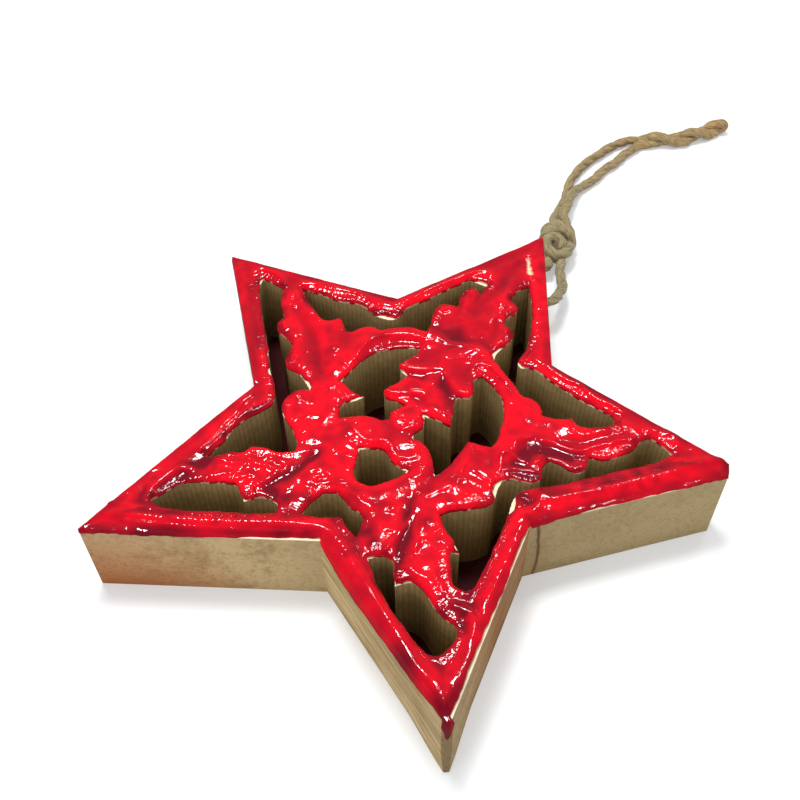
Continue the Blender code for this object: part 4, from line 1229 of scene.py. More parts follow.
@dataclass
class SawnBoard:
    """The board: one sawn piece of wood with saw ribs on the walls of its openings."""

    thickness: float = 0.018
    rib_depth: float = 0.00007
    tip_lean: float = 0.0013
    tip_wear: float = 0.0007
    tip_reach: float = 0.0628
    worn_from: float = 0.00015
    levels: tuple[float, ...] = (0.0, 0.0003, 0.002, 0.004, 0.006, 0.008, 0.01, 0.012, 0.0135,
                                 0.015, 0.0163, 0.0174, 0.0178, 0.018)
    valley_near: Point = (0.032, -0.011)
    vein_at: float = 0.0021
    vein_width: float = 0.0003
    vein_glow: tuple[float, float] = (0.0045, 0.001)
    red_mark: tuple[float, float] = (0.47, 0.12)
    bore_radius: float = 0.0021
    bore_length: float = 0.03

    def build(self, plan: StarPlan, material: bpy.types.Material) -> bpy.types.Object:
        """Make the board and dress it.

        Args:
            plan: The outlines of the star.
            material: The wood.

        Returns:
            The board's object.
        """
        shape = bmesh.new()
        self.marks = {name: shape.verts.layers.float.new(name)
                      for name in ("opening", "rib_phase", "warm", "olive", "lines", "vein")}
        self.unrolled = shape.loops.layers.uv.new("unrolled")
        self.vein_foot = self.valley(plan.outer)
        rims_low, rims_high = self.raise_walls(shape, [plan.outer, *plan.openings])
        bmesh.ops.triangle_fill(shape, use_beauty=True, edges=rims_low)
        bmesh.ops.triangle_fill(shape, use_beauty=True, edges=rims_high)
        bmesh.ops.recalc_face_normals(shape, faces=shape.faces[:])
        mesh = self.bored(to_mesh(shape, "sawn_board"))
        mesh.shade_smooth()
        mesh.set_sharp_from_angle(angle=math.radians(42))
        return add_piece("sawn_board", mesh, material, "star", (
            "star_frame", "top_palmette", "arch_with_side_leaves", "centre_leaf",
            "ring_with_lower_leaves"))

    def valley(self, outer: Outline) -> Vector:
        """The corner between the front arm and the right one, where the dark vein starts."""
        corners = outer.points[outer.corners]
        x, y = self.valley_near
        away = np.hypot(corners[:, 0] - x, corners[:, 1] - y)
        return Vector(corners[int(away.argmin())])

    def raise_walls(self, shape: Shape, lines: list[Outline]
                    ) -> tuple[list[Edge], list[Edge]]:
        """Raise the walls of the board from its outlines.

        Args:
            shape: The board.
            lines: The outlines.

        Returns:
            The edges at the back and at the front of the board.
        """
        numbers = {}
        spots = []
        rim = []
        for line in lines:
            along = line.along()
            ring = []
            for number, (x, y) in enumerate(line.points):
                corner = shape.verts.new((x, y, 0.0))
                numbers[corner] = len(spots)
                ring.append(corner)
                spots.append(WallSpot(line, number, along[number], along[-1]))
            rim += [shape.edges.new((a, b)) for a, b in zip(ring, ring[1:] + ring[:1])]
        self.place(numbers, spots, 0.0)
        low = list(rim)
        for level in self.levels[1:]:
            fresh, rim = extruded(shape, rim, numbers)
            self.place(fresh, spots, level)
            self.unroll(rim, {**numbers, **fresh}, spots)
            numbers = fresh
        return low, rim

    def place(self, numbers: dict[Corner, int], spots: list[WallSpot],
              level: float) -> None:
        """Put a ring of corners at its level and note how the wood looks there."""
        high = level / self.thickness
        foot = self.tip_lean * (1.0 - high)
        lens = math.sin(math.pi * max(0.0, 1.0 - high) ** 1.4)
        reach = self.tip_reach + foot - self.tip_wear * lens
        for corner, number in numbers.items():
            spot = spots[number]
            shift = spot.wander if spot.outer else self.rib_depth * spot.rib
            flat = spot.point + spot.outward * (shift if level > 0.0 else 0.0)
            past = -1.0
            if spot.front_tip:
                way = spot.front_arm
                flat += way * foot * smooth(spot.tip_from, spot.tip_full, flat.dot(way))
                past = flat.dot(way) - reach
                flat -= way * max(0.0, past)
            corner.co = (flat.x, flat.y, level)
            self.mark(corner, spot, past > -self.worn_from)

    def unroll(self, rim: list[Edge], numbers: dict[Corner, int],
               spots: list[WallSpot]) -> None:
        """Lay the map of the wall's newest ring of faces out flat, in metres."""
        for edge in rim:
            for loop in edge.link_faces[0].loops:
                spot = spots[numbers[loop.vert]]
                others = [spots[numbers[corner]].along for corner in loop.face.verts]
                wraps = spot.along == 0.0 and max(others) > 0.5 * spot.length
                loop[self.unrolled].uv = (spot.length if wraps else spot.along, loop.vert.co.z)

    def mark(self, corner: Corner, spot: WallSpot, worn: bool) -> None:
        """Note how the wood looks at a corner of the wall, and if it lies on the worn tip."""
        level = corner.co.z
        note(corner, self.marks, opening=0.0 if spot.outer else 1.0, rib_phase=spot.phase)
        if not spot.outer:
            return
        share = spot.share
        low = 1.0 - level / self.thickness
        if worn:
            looks = {"olive": 0.8, "vein": 0.5}
        elif spot.side == 4:
            warm = smooth(0.7, 0.0, share + 0.3 * (1.0 - low)) * (0.45 + 0.55 * low)
            looks = {"warm": warm, "olive": 0.35 * smooth(0.5, 1.0, share)}
        elif spot.side == 5:
            looks = {"lines": 0.7, "olive": 0.2}
        elif spot.side == 6:
            middle, width = self.red_mark
            mark = math.exp(-((share - middle) / width) ** 2)
            looks = {"lines": 0.5, "warm": 0.7 * smooth(0.0, 0.3, share) + 0.45 * mark,
                     "olive": 0.3}
        elif spot.side == 7:
            wave = 0.00035 * math.sin(level / 0.0042) + 0.0002 * ripple(
                Vector((level, 0.0, 0.0)), 0.002, 71.0)
            away = (spot.point - self.vein_foot).length - self.vein_at - wave
            looks = {"vein": math.exp(-(away / self.vein_width) ** 2),
                     "warm": 0.45 * smooth(*self.vein_glow, abs(away)) * low, "olive": 0.65}
        else:
            looks = {"lines": 0.4, "olive": 0.25}
        note(corner, self.marks, **looks)

    def bored(self, mesh: bpy.types.Mesh) -> bpy.types.Mesh:
        """The board with the small hole across its hanging tip."""
        pivot = frame["joints"][0]["pos_m"]
        shape = bmesh.new()
        place = Matrix.Translation(pivot) @ Matrix.Rotation(math.pi / 2, 4, "Y")
        bmesh.ops.create_cone(
            shape, cap_ends=True, segments=32, radius1=self.bore_radius,
            radius2=self.bore_radius, depth=self.bore_length, matrix=place)
        drill = linked("twine_drill", to_mesh(shape, "twine_drill"))
        board = linked("board_to_bore", mesh)
        bore = board.modifiers.new("bore", "BOOLEAN")
        bore.operation = "DIFFERENCE"
        bore.solver = "EXACT"
        bore.object = drill
        evaluated = board.evaluated_get(bpy.context.evaluated_depsgraph_get())
        result = bpy.data.meshes.new_from_object(evaluated)
        for item in (drill, board):
            bpy.data.objects.remove(item, do_unlink=True)
        result.materials.clear()
        return result


class TwineRoutes:
    """Where the twine runs: given points in millimetres, close to the part's routes."""

    strand_right = (
        (0.0, 0.0, 0.0), (3.2, 0.0, 0.0), (5.4, 0.1, 0.0), (6.9, 0.8, 0.03), (7.5, 2.2, 0.1),
        (7.5, 4.2, 0.24), (7.1, 6.9, 0.45), (6.5, 10.3, 0.68), (4.8, 13.8, 0.84),
        (2.9, 17.2, 0.95))
    strand_left = (
        (-3.2, 0.0, 0.0), (-5.4, 0.1, 0.0), (-6.9, 0.8, 0.03), (-7.5, 2.2, 0.1),
        (-7.5, 4.2, 0.24), (-7.0, 7.0, 0.46), (-6.2, 10.4, 0.7), (-4.2, 13.8, 0.86),
        (-2.2, 16.4, 0.96))
    outward = (
        (-7.4, 35.6, 1.9), (-8.2, 41.0, 0.8), (-9.4, 47.9, 0.0), (-11.2, 54.6, 0.0),
        (-11.5, 61.8, 0.0), (-10.8, 66.6, 0.0), (-9.5, 71.2, 0.0), (-8.5, 75.0, 0.0),
        (-6.9, 78.4, 0.0), (-4.9, 81.4, 0.0))
    homeward = (
        (-2.3, 78.2, 0.0), (-3.4, 74.2, 0.0), (-4.1, 69.4, 0.0), (-5.5, 64.8, 0.0),
        (-6.3, 58.5, 0.0), (-7.9, 53.2, 0.5), (-7.6, 47.6, 1.9), (-6.3, 41.6, 2.9),
        (-5.0, 36.4, 3.2))
    twist_centre = (
        (-1.5, 82.2), (1.2, 83.9), (4.2, 86.3), (7.3, 88.3), (9.8, 90.8), (11.4, 94.0),
        (13.4, 97.0), (15.8, 100.0))
    diameter = 0.0025
    board_thickness = 0.018
    lying_gap = 0.0001
    knot_length = 0.0118
    knot_height = 0.0076
    knot_ridge = 0.0005
    knot_turn = math.radians(20)
    knot_from_hole = 0.0255
    knot_to_left = 0.0018
    knot_spread = 0.0032
    knot_lead = 0.003
    knot_gap = 0.0003
    knot_bite = 0.0011
    twist_turns = 1.25
    twist_gap = -0.0005
    twist_points = 12
    bend_points = 4
    strand_spacing = 0.0021
    loop_spacing = 0.0048

    def __init__(self) -> None:
        """Take the hole's centre from the joint."""
        self.hole = Vector(frame["joints"][0]["pos_m"])
        self.low = self.diameter / 2 + self.lying_gap - self.board_thickness / 2

    def knot_frame(self) -> Matrix:
        """Place of the knot from the hole, with +Y along the twine away from the star."""
        height = self.knot_height / 2 + self.lying_gap - self.board_thickness / 2
        place = Matrix.Translation((-self.knot_to_left, self.knot_from_hole, height))
        return place @ Matrix.Rotation(self.knot_turn, 4, "Z")

    def port(self, side: int, end: int, away: float = 0.0) -> Vector:
        """Where a strand leaves the knot: side and end are -1 or 1."""
        reach = self.knot_length / 2 + self.knot_ridge + self.knot_gap + away
        return self.knot_frame() @ Vector((side * self.knot_spread / 2, end * reach, 0.0))

    def through_tip(self) -> list[Vector]:
        """The strand from the knot through the hole and back to the knot."""
        drop = self.knot_frame().translation.z
        half = self.diameter / 2
        inside = -self.knot_bite
        points = [self.port(-1, -1, reach) for reach in (inside, 0.0, half)]
        for x, y, share in self.strand_left[::-1] + self.strand_right:
            points.append(Vector((x * MILLIMETRE, y * MILLIMETRE, share * drop)))
        points += [self.port(1, -1, reach) for reach in (half, 0.0, inside)]
        return [point + self.hole for point in smooth_route(points, self.strand_spacing)]

    def twisted(self, side: int) -> list[Vector]:
        """One of the two strands of the loop's twisted end, out to its far end."""
        drawn = [Vector(place) * MILLIMETRE for place in self.twist_centre]
        centre = smooth_route(drawn, self.loop_spacing)
        radius = (self.diameter + self.twist_gap) / 2
        strand = []
        for index in range(self.twist_points):
            share = index / (self.twist_points - 1)
            at = share * (len(centre) - 1)
            low = min(int(at), len(centre) - 2)
            point = centre[low].lerp(centre[low + 1], at - low)
            along = (centre[low + 1] - centre[low]).normalized()
            angle = 2 * math.pi * self.twist_turns * share
            sideways = side * radius * math.cos(angle)
            lift = radius * (abs(math.sin(angle)) + side * math.sin(angle))
            strand.append(Vector((point.x - along.y * sideways, point.y + along.x * sideways,
                                  self.low + lift)))
        return strand

    def end_bend(self, start: Vector, finish: Vector, before: Vector) -> list[Vector]:
        """The half turn in which the twine comes back at the loop's far end."""
        centre = (start + finish) / 2
        across = start - centre
        ahead = (start - before).normalized() * across.length
        angles = [math.pi * step / self.bend_points for step in range(1, self.bend_points)]
        return [centre + across * math.cos(angle) + ahead * math.sin(angle)
                for angle in angles]

    def loop(self) -> list[Vector]:
        """The loop from the knot out to its twisted end and back."""
        rest = Vector((0.0, 0.0, self.low))
        out = [Vector(place) * MILLIMETRE + rest for place in self.outward]
        home = [Vector(place) * MILLIMETRE + rest for place in self.homeward]
        above = self.twisted(1)
        below = self.twisted(-1)
        points = [self.port(-1, 1), self.port(-1, 1, self.knot_lead)] + out + above
        points += self.end_bend(above[-1], below[-1], above[-2]) + list(reversed(below))
        points += home + [self.port(1, 1, self.knot_lead), self.port(1, 1)]
        return [point + self.hole for point in smooth_route(points, self.loop_spacing)]


@dataclass
class JuteTwine:
    """Twine spun from soft plies, with loose fibres that stand off it."""

    diameter: float = 0.0025
    ply_count: int = 3
    ply_radius: float = 0.00088
    ply_offset: float = 0.00038
    ply_sides: int = 12
    lay_length: float = 0.0125
    far_fullness: float = 0.12
    fuller_from: float = 0.128
    fuller_to: float = 0.142
    step: float = 0.00045
    fibre_radius: float = 0.00003
    fibre_reach: float = 0.0009
    fibres_per_metre: float = 4200.0
    fibre_taper: tuple[float, ...] = (1.0, 0.8, 0.1)
    fibre_lift: float = 0.00018
    least_lift: float = 0.00004
    fibre_bend: float = 0.0001
    over_floor: float = 0.00002

    def spun(self, route: list[Vector], thick: float = 1.0) -> bpy.types.Mesh:
        """The twine spun along a route.

        Args:
            route: The centreline.
            thick: How thick the twine is, as a share of its usual thickness.

        Returns:
            A mesh of all plies and fibres.
        """
        line = smooth_route(route, self.step)
        frames = self.frames(line)
        shape = bmesh.new()
        self.lay = shape.verts.layers.float_vector.new("lay")
        self.wind_plies(shape, line, frames, thick)
        loose = self.fibres(line, frames, thick)
        shape.from_mesh(loose)
        bpy.data.meshes.remove(loose)
        bmesh.ops.recalc_face_normals(shape, faces=shape.faces[:])
        mesh = to_mesh(shape, "twine")
        mesh.shade_smooth()
        return mesh

    @staticmethod
    def frames(line: list[Vector]) -> list[tuple[Vector, Vector, Vector]]:
        """Directions along and across the line at each point that turn as little as can be."""
        result = []
        across = Vector((0.0, 0.0, 1.0))
        for index in range(len(line)):
            ahead = (line[min(index + 1, len(line) - 1)] - line[max(index - 1, 0)]).normalized()
            across = (across - ahead * across.dot(ahead)).normalized()
            result.append((ahead, across.copy(), ahead.cross(across)))
        return result

    def thickness_at(self, centre: Vector) -> float:
        """How thick the twine is at a place, as a share: fuller in the loop's twisted end."""
        return 1.0 + self.far_fullness * smooth(self.fuller_from, self.fuller_to, centre.y)

    def wind_plies(self, shape: Shape, line: list[Vector],
                   frames: list[tuple[Vector, Vector, Vector]], thick: float) -> None:
        """Wind the plies round the line by extruding small circles along it, all together."""
        numbers, edges = circles(shape, self.ply_count, self.ply_sides, self.ply_radius, True)
        travelled = 0.0
        for index, centre in enumerate(line):
            if index:
                travelled += (centre - line[index - 1]).length
                numbers, edges = extruded(shape, edges, numbers)
            _, first, second = frames[index]
            full = thick * self.thickness_at(centre)
            for corner, number in numbers.items():
                ply, spot = divmod(number, self.ply_sides)
                angle = 2.0 * math.pi * (ply / self.ply_count + travelled / self.lay_length)
                angle += 0.8 * ripple(centre, 0.005, 61.0 + ply)
                out = first * math.cos(angle) + second * math.sin(angle)
                side = second * math.cos(angle) - first * math.sin(angle)
                turn = 2.0 * math.pi * spot / self.ply_sides
                way = out * math.cos(turn) + side * math.sin(turn)
                swell = 1.0 + 0.10 * ripple(centre, 0.004, 67.0 + 3 * ply)
                swell += 0.05 * ripple(centre + way * 0.002, 0.0007, 79.0)
                corner.co = centre + (out * self.ply_offset
                                      + way * self.ply_radius * swell) * full
                corner[self.lay] = Vector((math.cos(turn), math.sin(turn), travelled))
        for ply in range(self.ply_count):
            ends = [corner for corner, number in numbers.items()
                    if number // self.ply_sides == ply]
            bmesh.ops.contextual_create(shape, geom=ends)

    def fibres(self, line: list[Vector], frames: list[tuple[Vector, Vector, Vector]],
               thick: float) -> bpy.types.Mesh:
        """Short loose fibres that stand off the twine: three-sided spikes, bent once.

        Args:
            line: The twine's centreline.
            frames: The directions along and across it.
            thick: How thick the twine is.

        Returns:
            A mesh of all fibres.
        """
        shape = bmesh.new()
        lay = shape.verts.layers.float_vector.new("lay")
        length = sum((b - a).length for a, b in zip(line, line[1:]))
        paths = [self.fibre_path(number / (length * self.fibres_per_metre), number, line,
                                 frames, thick)
                 for number in range(int(length * self.fibres_per_metre))]
        numbers, edges = circles(shape, len(paths), 3, self.fibre_radius, False)
        for step, share in enumerate(self.fibre_taper):
            if step:
                numbers, edges = extruded(shape, edges, numbers)
            for corner, number in numbers.items():
                fibre, spot = divmod(number, 3)
                across = (paths[fibre][2] - paths[fibre][0]).normalized().orthogonal()
                other = across.cross(paths[fibre][2] - paths[fibre][0]).normalized()
                turn = 2.0 * math.pi * spot / 3
                way = across.normalized() * math.cos(turn) + other * math.sin(turn)
                corner.co = paths[fibre][step] + way * self.fibre_radius * share
                corner.co.z = max(corner.co.z, self.over_floor)
                corner[lay] = Vector((0.0, 0.0, fibre * 0.001))
        return to_mesh(shape, "fibres")

    def fibre_path(self, share: float, number: int, line: list[Vector],
                   frames: list[tuple[Vector, Vector, Vector]], thick: float
                   ) -> tuple[Vector, Vector, Vector]:
        """Root, middle and tip of one loose fibre."""
        low = int(share * (len(line) - 1))
        seed = 7.3 * number
        ahead, first, second = frames[low]
        angle = 2.4 * number + noise.noise(Vector((seed, 0.3, 0.7))) * 3.0
        out = first * math.cos(angle) + second * math.sin(angle)
        side = second * math.cos(angle) - first * math.sin(angle)
        half = self.diameter / 2 * 0.86 * thick * self.thickness_at(line[low])
        root = line[low] + out * half
        reach = self.fibre_reach * (1.0 + 0.7 * noise.noise(Vector((seed, 4.1, 2.2))))
        lift = self.fibre_lift + 0.0004 * noise.noise(Vector((seed, 9.4, 5.1)))
        way = 1.0 if noise.noise(Vector((seed, 1.7, 8.8))) > 0 else -1.0
        tip = root + ahead * reach * way + side * 0.5 * reach + out * max(lift, self.least_lift)
        return root, (root + tip) / 2 + out * self.fibre_bend, tip


def fill(tree: Tree, made: bpy.types.Node, values: dict) -> None:
    """Link sockets to a node's inputs, or set plain values there, by name or number."""
    for name, value in values.items():
        if isinstance(value, Socket):
            tree.links.new(value, made.inputs[name])
        else:
            made.inputs[name].default_value = value


def node(tree: Tree, kind: str, *inputs: object, **settings: object) -> bpy.types.Node:
    """Add a shader node, laid out beside the others.

    Args:
        tree: The node tree.
        kind: The node's type, without the word that all shader nodes start with.
        *inputs: What its first inputs get: sockets or plain values.
        **settings: Properties of the node, and inputs by name.

    Returns:
        The node.
    """
    row, column = divmod(len(tree.nodes), 10)
    made = tree.nodes.new("ShaderNode" + kind)
    made.location = (220.0 * column, -330.0 * row)
    given = dict(enumerate(inputs))
    for name, value in settings.items():
        if hasattr(made, name):
            setattr(made, name, value)
        else:
            given[name.replace("_", " ")] = value
    fill(tree, made, given)
    return made


def ramp(tree: Tree, value: Socket, *stops: tuple) -> Socket:
    """Colour a value by stops, each a place with a colour or a grey; returns the socket."""
    made = node(tree, "ValToRGB", value)
    elements = made.color_ramp.elements
    while len(elements) < len(stops):
        elements.new(0.5)
    for element, (place, colour) in zip(elements, stops):
        element.position = place
        element.color = (*colour, 1.0) if isinstance(colour, tuple) else (*[colour] * 3, 1.0)
    return made.outputs[0]


def mixed(tree: Tree, factor: Socket | float, first: Socket | Colour,
          second: Socket | Colour, blend: str = "MIX") -> Socket:
    """Mix two colours, each a socket or a plain colour, and return the result's socket."""
    made = node(tree, "Mix", factor, data_type="RGBA", blend_type=blend)
    for slot, value in ((6, first), (7, second)):
        fill(tree, made, {slot: (*value, 1.0) if isinstance(value, tuple) else value})
    return made.outputs[2]


def sum_up(tree: Tree, operation: str, *values: Socket | float, clamp: bool = False
           ) -> Socket:
    """Join values with a Math node and return the result's socket."""
    return node(tree, "Math", *values, operation=operation, use_clamp=clamp).outputs[0]


def scaled(tree: Tree, vector: Socket, shares: Socket | Colour) -> Socket:
    """Multiply a vector's socket by one share for each axis, and return the socket."""
    return node(tree, "VectorMath", vector, shares, operation="MULTIPLY").outputs[0]


def mark_of(tree: Tree, name: str) -> Socket:
    """The socket of a value that the mesh keeps at its corners."""
    return node(tree, "Attribute", attribute_name=name).outputs[2]


def in_range(tree: Tree, value: Socket, low: float, high: float, *to_levels: float
             ) -> Socket:
    """Map a value from low and high to 0 and 1, or to other levels; returns the socket."""
    return node(tree, "MapRange", value, low, high, *to_levels).outputs[0]


def place_along(tree: Tree, axis: str) -> Socket:
    """The socket of the object's own coordinate along one axis."""
    return node(tree, "SeparateXYZ", node(tree, "TexCoord").outputs["Object"]).outputs[axis]


def bumped(tree: Tree, height: Socket, strength: float, distance: float, **under: Socket
           ) -> Socket:
    """A Bump node's socket, over the relief of another one if its Normal is given."""
    return node(tree, "Bump", Strength=strength, Distance=distance, Height=height,
                **under).outputs[0]


def new_material(name: str) -> tuple[bpy.types.Material, Tree, bpy.types.Node]:
    """A new material with its node tree and its Principled shader."""
    material = bpy.data.materials.new(name)
    material.use_nodes = True
    return material, material.node_tree, material.node_tree.nodes["Principled BSDF"]


class Finish:
    """A finish: a material with a Principled shader and its own way of dressing it."""

    name = "finish"

    def build(self) -> bpy.types.Material:
        """Make the material and return it."""
        material, tree, shader = new_material(self.name)
        fill(tree, shader, self.dress(tree))
        return material

    def dress(self, tree: Tree) -> dict:
        """What the shader's inputs get; each finish has its own."""
        return {}


def ripple_group() -> Tree:
    """The shared group that gives layered noise over an object's own coordinates."""
    found = bpy.data.node_groups.get("layered_noise")
    if found:
        return found
    group = bpy.data.node_groups.new("layered_noise", "ShaderNodeTree")
    for name, kind in (("Stretch", "Vector"), ("Turn", "Vector"), ("Scale", "Float"),
                       ("Detail", "Float")):
        group.interface.new_socket(name, in_out="INPUT", socket_type="NodeSocket" + kind)
    group.interface.new_socket("Value", in_out="OUTPUT", socket_type="NodeSocketFloat")
    given = group.nodes.new("NodeGroupInput").outputs
    turned = node(group, "Mapping", node(group, "TexCoord").outputs["Object"],
                  Rotation=given["Turn"])
    texture = node(group, "TexNoise", scaled(group, turned.outputs[0], given["Stretch"]),
                   Roughness=0.6, Scale=given["Scale"], Detail=given["Detail"])
    fill(group, group.nodes.new("NodeGroupOutput"), {"Value": texture.outputs["Fac"]})
    return group


def noise_value(tree: Tree, scale: float, detail: float,
                stretch: Colour = (1.0, 1.0, 1.0), turn: float = 0.0) -> Socket:
    """Place the shared noise group and return its value's socket.

    Args:
        tree: The material's node tree.
        scale: How fine the noise is, in ripples a metre.
        detail: How many layers it has.
        stretch: How fine it is along each axis, as shares.
        turn: How far the pattern is turned about Z, in radians.

    Returns:
        The socket of the noise, from 0 to 1.
    """
    return node(tree, "Group", node_tree=ripple_group(), Scale=scale, Detail=detail,
                Stretch=stretch, Turn=(0.0, 0.0, turn)).outputs["Value"]


@dataclass(frozen=True)
class RedEnamel(Finish):
    """Thick glossy red enamel, dark crimson where it pools and where shade is painted in."""

    name: str = "red_enamel"
    bright: Colour = (0.80, 0.002, 0.013)
    middle: Colour = (0.50, 0.002, 0.013)
    # The darkest crimson: pooled enamel and painted shade.
    pooled: Colour = (0.16, 0.002, 0.010)
    wood: Colour = (0.72, 0.58, 0.36)
    roughness: float = 0.09

    def dress(self, tree: Tree) -> dict:
        """Colour by pooling and painted shade, bare wood in the slit, fine ripples in the gloss.
        """
        bare = mark_of(tree, "bare")
        cloud = sum_up(tree, "MULTIPLY_ADD", noise_value(tree, 150.0, 2.5), 0.6, -0.22)
        # The pool-and-shade mark darkens the red: pooled enamel and painted shade.
        depth = sum_up(tree, "ADD", mark_of(tree, "pool"), cloud, clamp=True)
        tones = ramp(tree, depth, (0.04, self.bright), (0.36, self.middle), (0.88, self.pooled))
        return {"Base Color": mixed(tree, bare, tones, self.wood),
                "Roughness": sum_up(tree, "MULTIPLY_ADD", bare, 0.75, self.roughness),
                "Specular IOR Level": 0.6, "Normal": self.waves(tree)}

    def waves(self, tree: Tree) -> Socket:
        """The gloss's relief: saw ripples by the edges, fine waves and scattered nibs."""
        turns = sum_up(tree, "MULTIPLY", mark_of(tree, "edge_run"), 2.0 * math.pi / SAW_PITCH)
        saw = sum_up(tree, "MULTIPLY", sum_up(tree, "SINE", turns), mark_of(tree, "edge_near"))
        uneven = ramp(tree, noise_value(tree, 330.0, 1.0), (0.35, 0.1), (0.6, 1.0))
        saw = sum_up(tree, "MULTIPLY", saw, uneven)
        relief = bumped(tree, saw, 1.0, 0.00005)
        relief = bumped(tree, noise_value(tree, 520.0, 2.0), 0.5, 0.00014, Normal=relief)
        relief = bumped(tree, self.folds(tree), 0.35, 0.00018, Normal=relief)
        cells = node(tree, "TexVoronoi", node(tree, "TexCoord").outputs["Object"], Scale=330.0)
        dots = ramp(tree, cells.outputs["Distance"], (0.0, 1.0), (0.075, 0.0))
        return bumped(tree, dots, 1.0, 0.00006, Normal=relief)

    @staticmethod
    def folds(tree: Tree) -> Socket:
        """Thin creases that cross the crumpled leaves like a web."""
        off = sum_up(tree, "SUBTRACT", noise_value(tree, 280.0, 1.0), 0.5)
        off = sum_up(tree, "ABSOLUTE", off)
        ridge = sum_up(tree, "MULTIPLY_ADD", off, -7.0, 1.0, clamp=True)
        return sum_up(tree, "MULTIPLY", ridge, mark_of(tree, "crumpled"))


@dataclass(frozen=True)
class SawnWood(Finish):
    """Pale hardwood, raw from the saw: tan outside; olive with painted shade in the openings."""

    name: str = "sawn_wood"
    light: Colour = (0.50, 0.36, 0.185)
    deep: Colour = (0.36, 0.245, 0.115)
    reddish: Colour = (0.37, 0.125, 0.038)
    greenish: Colour = (0.34, 0.265, 0.13)
    vein: Colour = (0.10, 0.045, 0.018)
    inner_high: Colour = (0.46, 0.335, 0.155)
    inner_low_shaded: Colour = (0.30, 0.205, 0.085)
    cream: Colour = (0.82, 0.72, 0.50)
    grain_turn: float = math.radians(27)
    thickness: float = 0.018

    def dress(self, tree: Tree) -> dict:
        """Colour by wall, with long grain, flecks, saw ribs and a pale front edge."""
        opening = mark_of(tree, "opening")
        up = in_range(tree, place_along(tree, "Z"), 0.0, self.thickness)
        shade, streaks, flecks = self.figure(tree)
        outer = ramp(tree, shade, (0.42, self.deep), (0.57, self.light))
        outer = mixed(tree, mark_of(tree, "warm"), outer, self.reddish)
        outer = mixed(tree, mark_of(tree, "olive"), outer, self.greenish)
        outer = mixed(tree, 1.0, outer, streaks, "MULTIPLY")
        outer = mixed(tree, 0.36, outer, flecks, "MULTIPLY")
        outer = mixed(tree, mark_of(tree, "vein"), outer, self.vein)
        ribs = self.ribs(tree)
        # Painted shade: the openings' walls darken towards the bottom.
        inside = mixed(tree, up, self.inner_low_shaded, self.inner_high)
        # Painted shade: the grooves between the saw ribs are coloured darker.
        groove_shade = ramp(tree, ribs, (0.0, (0.86, 0.85, 0.83)), (1.0, (1.05, 1.04, 1.02)))
        inside = mixed(tree, 1.0, inside, groove_shade, "MULTIPLY")
        mottle = ramp(tree, shade, (0.35, (0.72, 0.7, 0.66)), (0.65, (1.12, 1.12, 1.1)))
        inside = mixed(tree, 1.0, inside, mottle, "MULTIPLY")
        colour = mixed(tree, opening, outer, inside)
        colour = mixed(tree, in_range(tree, up, 0.982, 0.998), colour, self.cream)
        relief = bumped(tree, sum_up(tree, "MULTIPLY", ribs, opening), 0.5, 0.00008)
        return {"Base Color": colour, "Roughness": 0.75, "Specular IOR Level": 0.2,
                "Normal": bumped(tree, shade, 0.5, 0.00014, Normal=relief)}

    def figure(self, tree: Tree) -> tuple[Socket, ...]:
        """The wood's figure.

        Args:
            tree: The material's node tree.

        Returns:
            Sockets of its light and dark, of its long lines and of its short dark flecks.
        """
        grain = noise_value(tree, 700.0, 5.0, (0.16, 1.0, 0.9), self.grain_turn)
        bands = noise_value(tree, 110.0, 3.0, (0.3, 1.0, 1.0), self.grain_turn)
        half = sum_up(tree, "MULTIPLY", bands, 0.55)
        shade = sum_up(tree, "MULTIPLY_ADD", grain, 0.5, half)
        speck = noise_value(tree, 1700.0, 2.0, (0.16, 1.0, 0.9), self.grain_turn)
        flecks = ramp(tree, speck, (0.36, (0.5, 0.45, 0.4)), (0.47, 1.0))
        drawn = scaled(tree, self.unrolled(tree), (60.0, 1500.0, 1.0))
        texture = node(tree, "TexNoise", drawn, Scale=1.0, Detail=3.0, Distortion=0.6)
        tones = ramp(tree, texture.outputs["Fac"], (0.36, (0.80, 0.75, 0.68)),
                     (0.60, (1.55, 1.60, 1.62)))
        return shade, mixed(tree, mark_of(tree, "lines"), (1.0, 1.0, 1.0), tones), flecks

    @staticmethod
    def unrolled(tree: Tree) -> Socket:
        """The socket of the map on which the walls lie flat, in metres."""
        return node(tree, "UVMap", uv_map="unrolled").outputs[0]

    def ribs(self, tree: Tree) -> Socket:
        """The saw's ribs along the walls of the openings, from 0 in a groove to 1."""
        along = node(tree, "SeparateXYZ", self.unrolled(tree)).outputs["X"]
        turns = sum_up(tree, "MULTIPLY_ADD", along, 2.0 * math.pi / SAW_PITCH,
                       mark_of(tree, "rib_phase"))
        return sum_up(tree, "MULTIPLY_ADD", sum_up(tree, "SINE", turns), 0.5, 0.5)


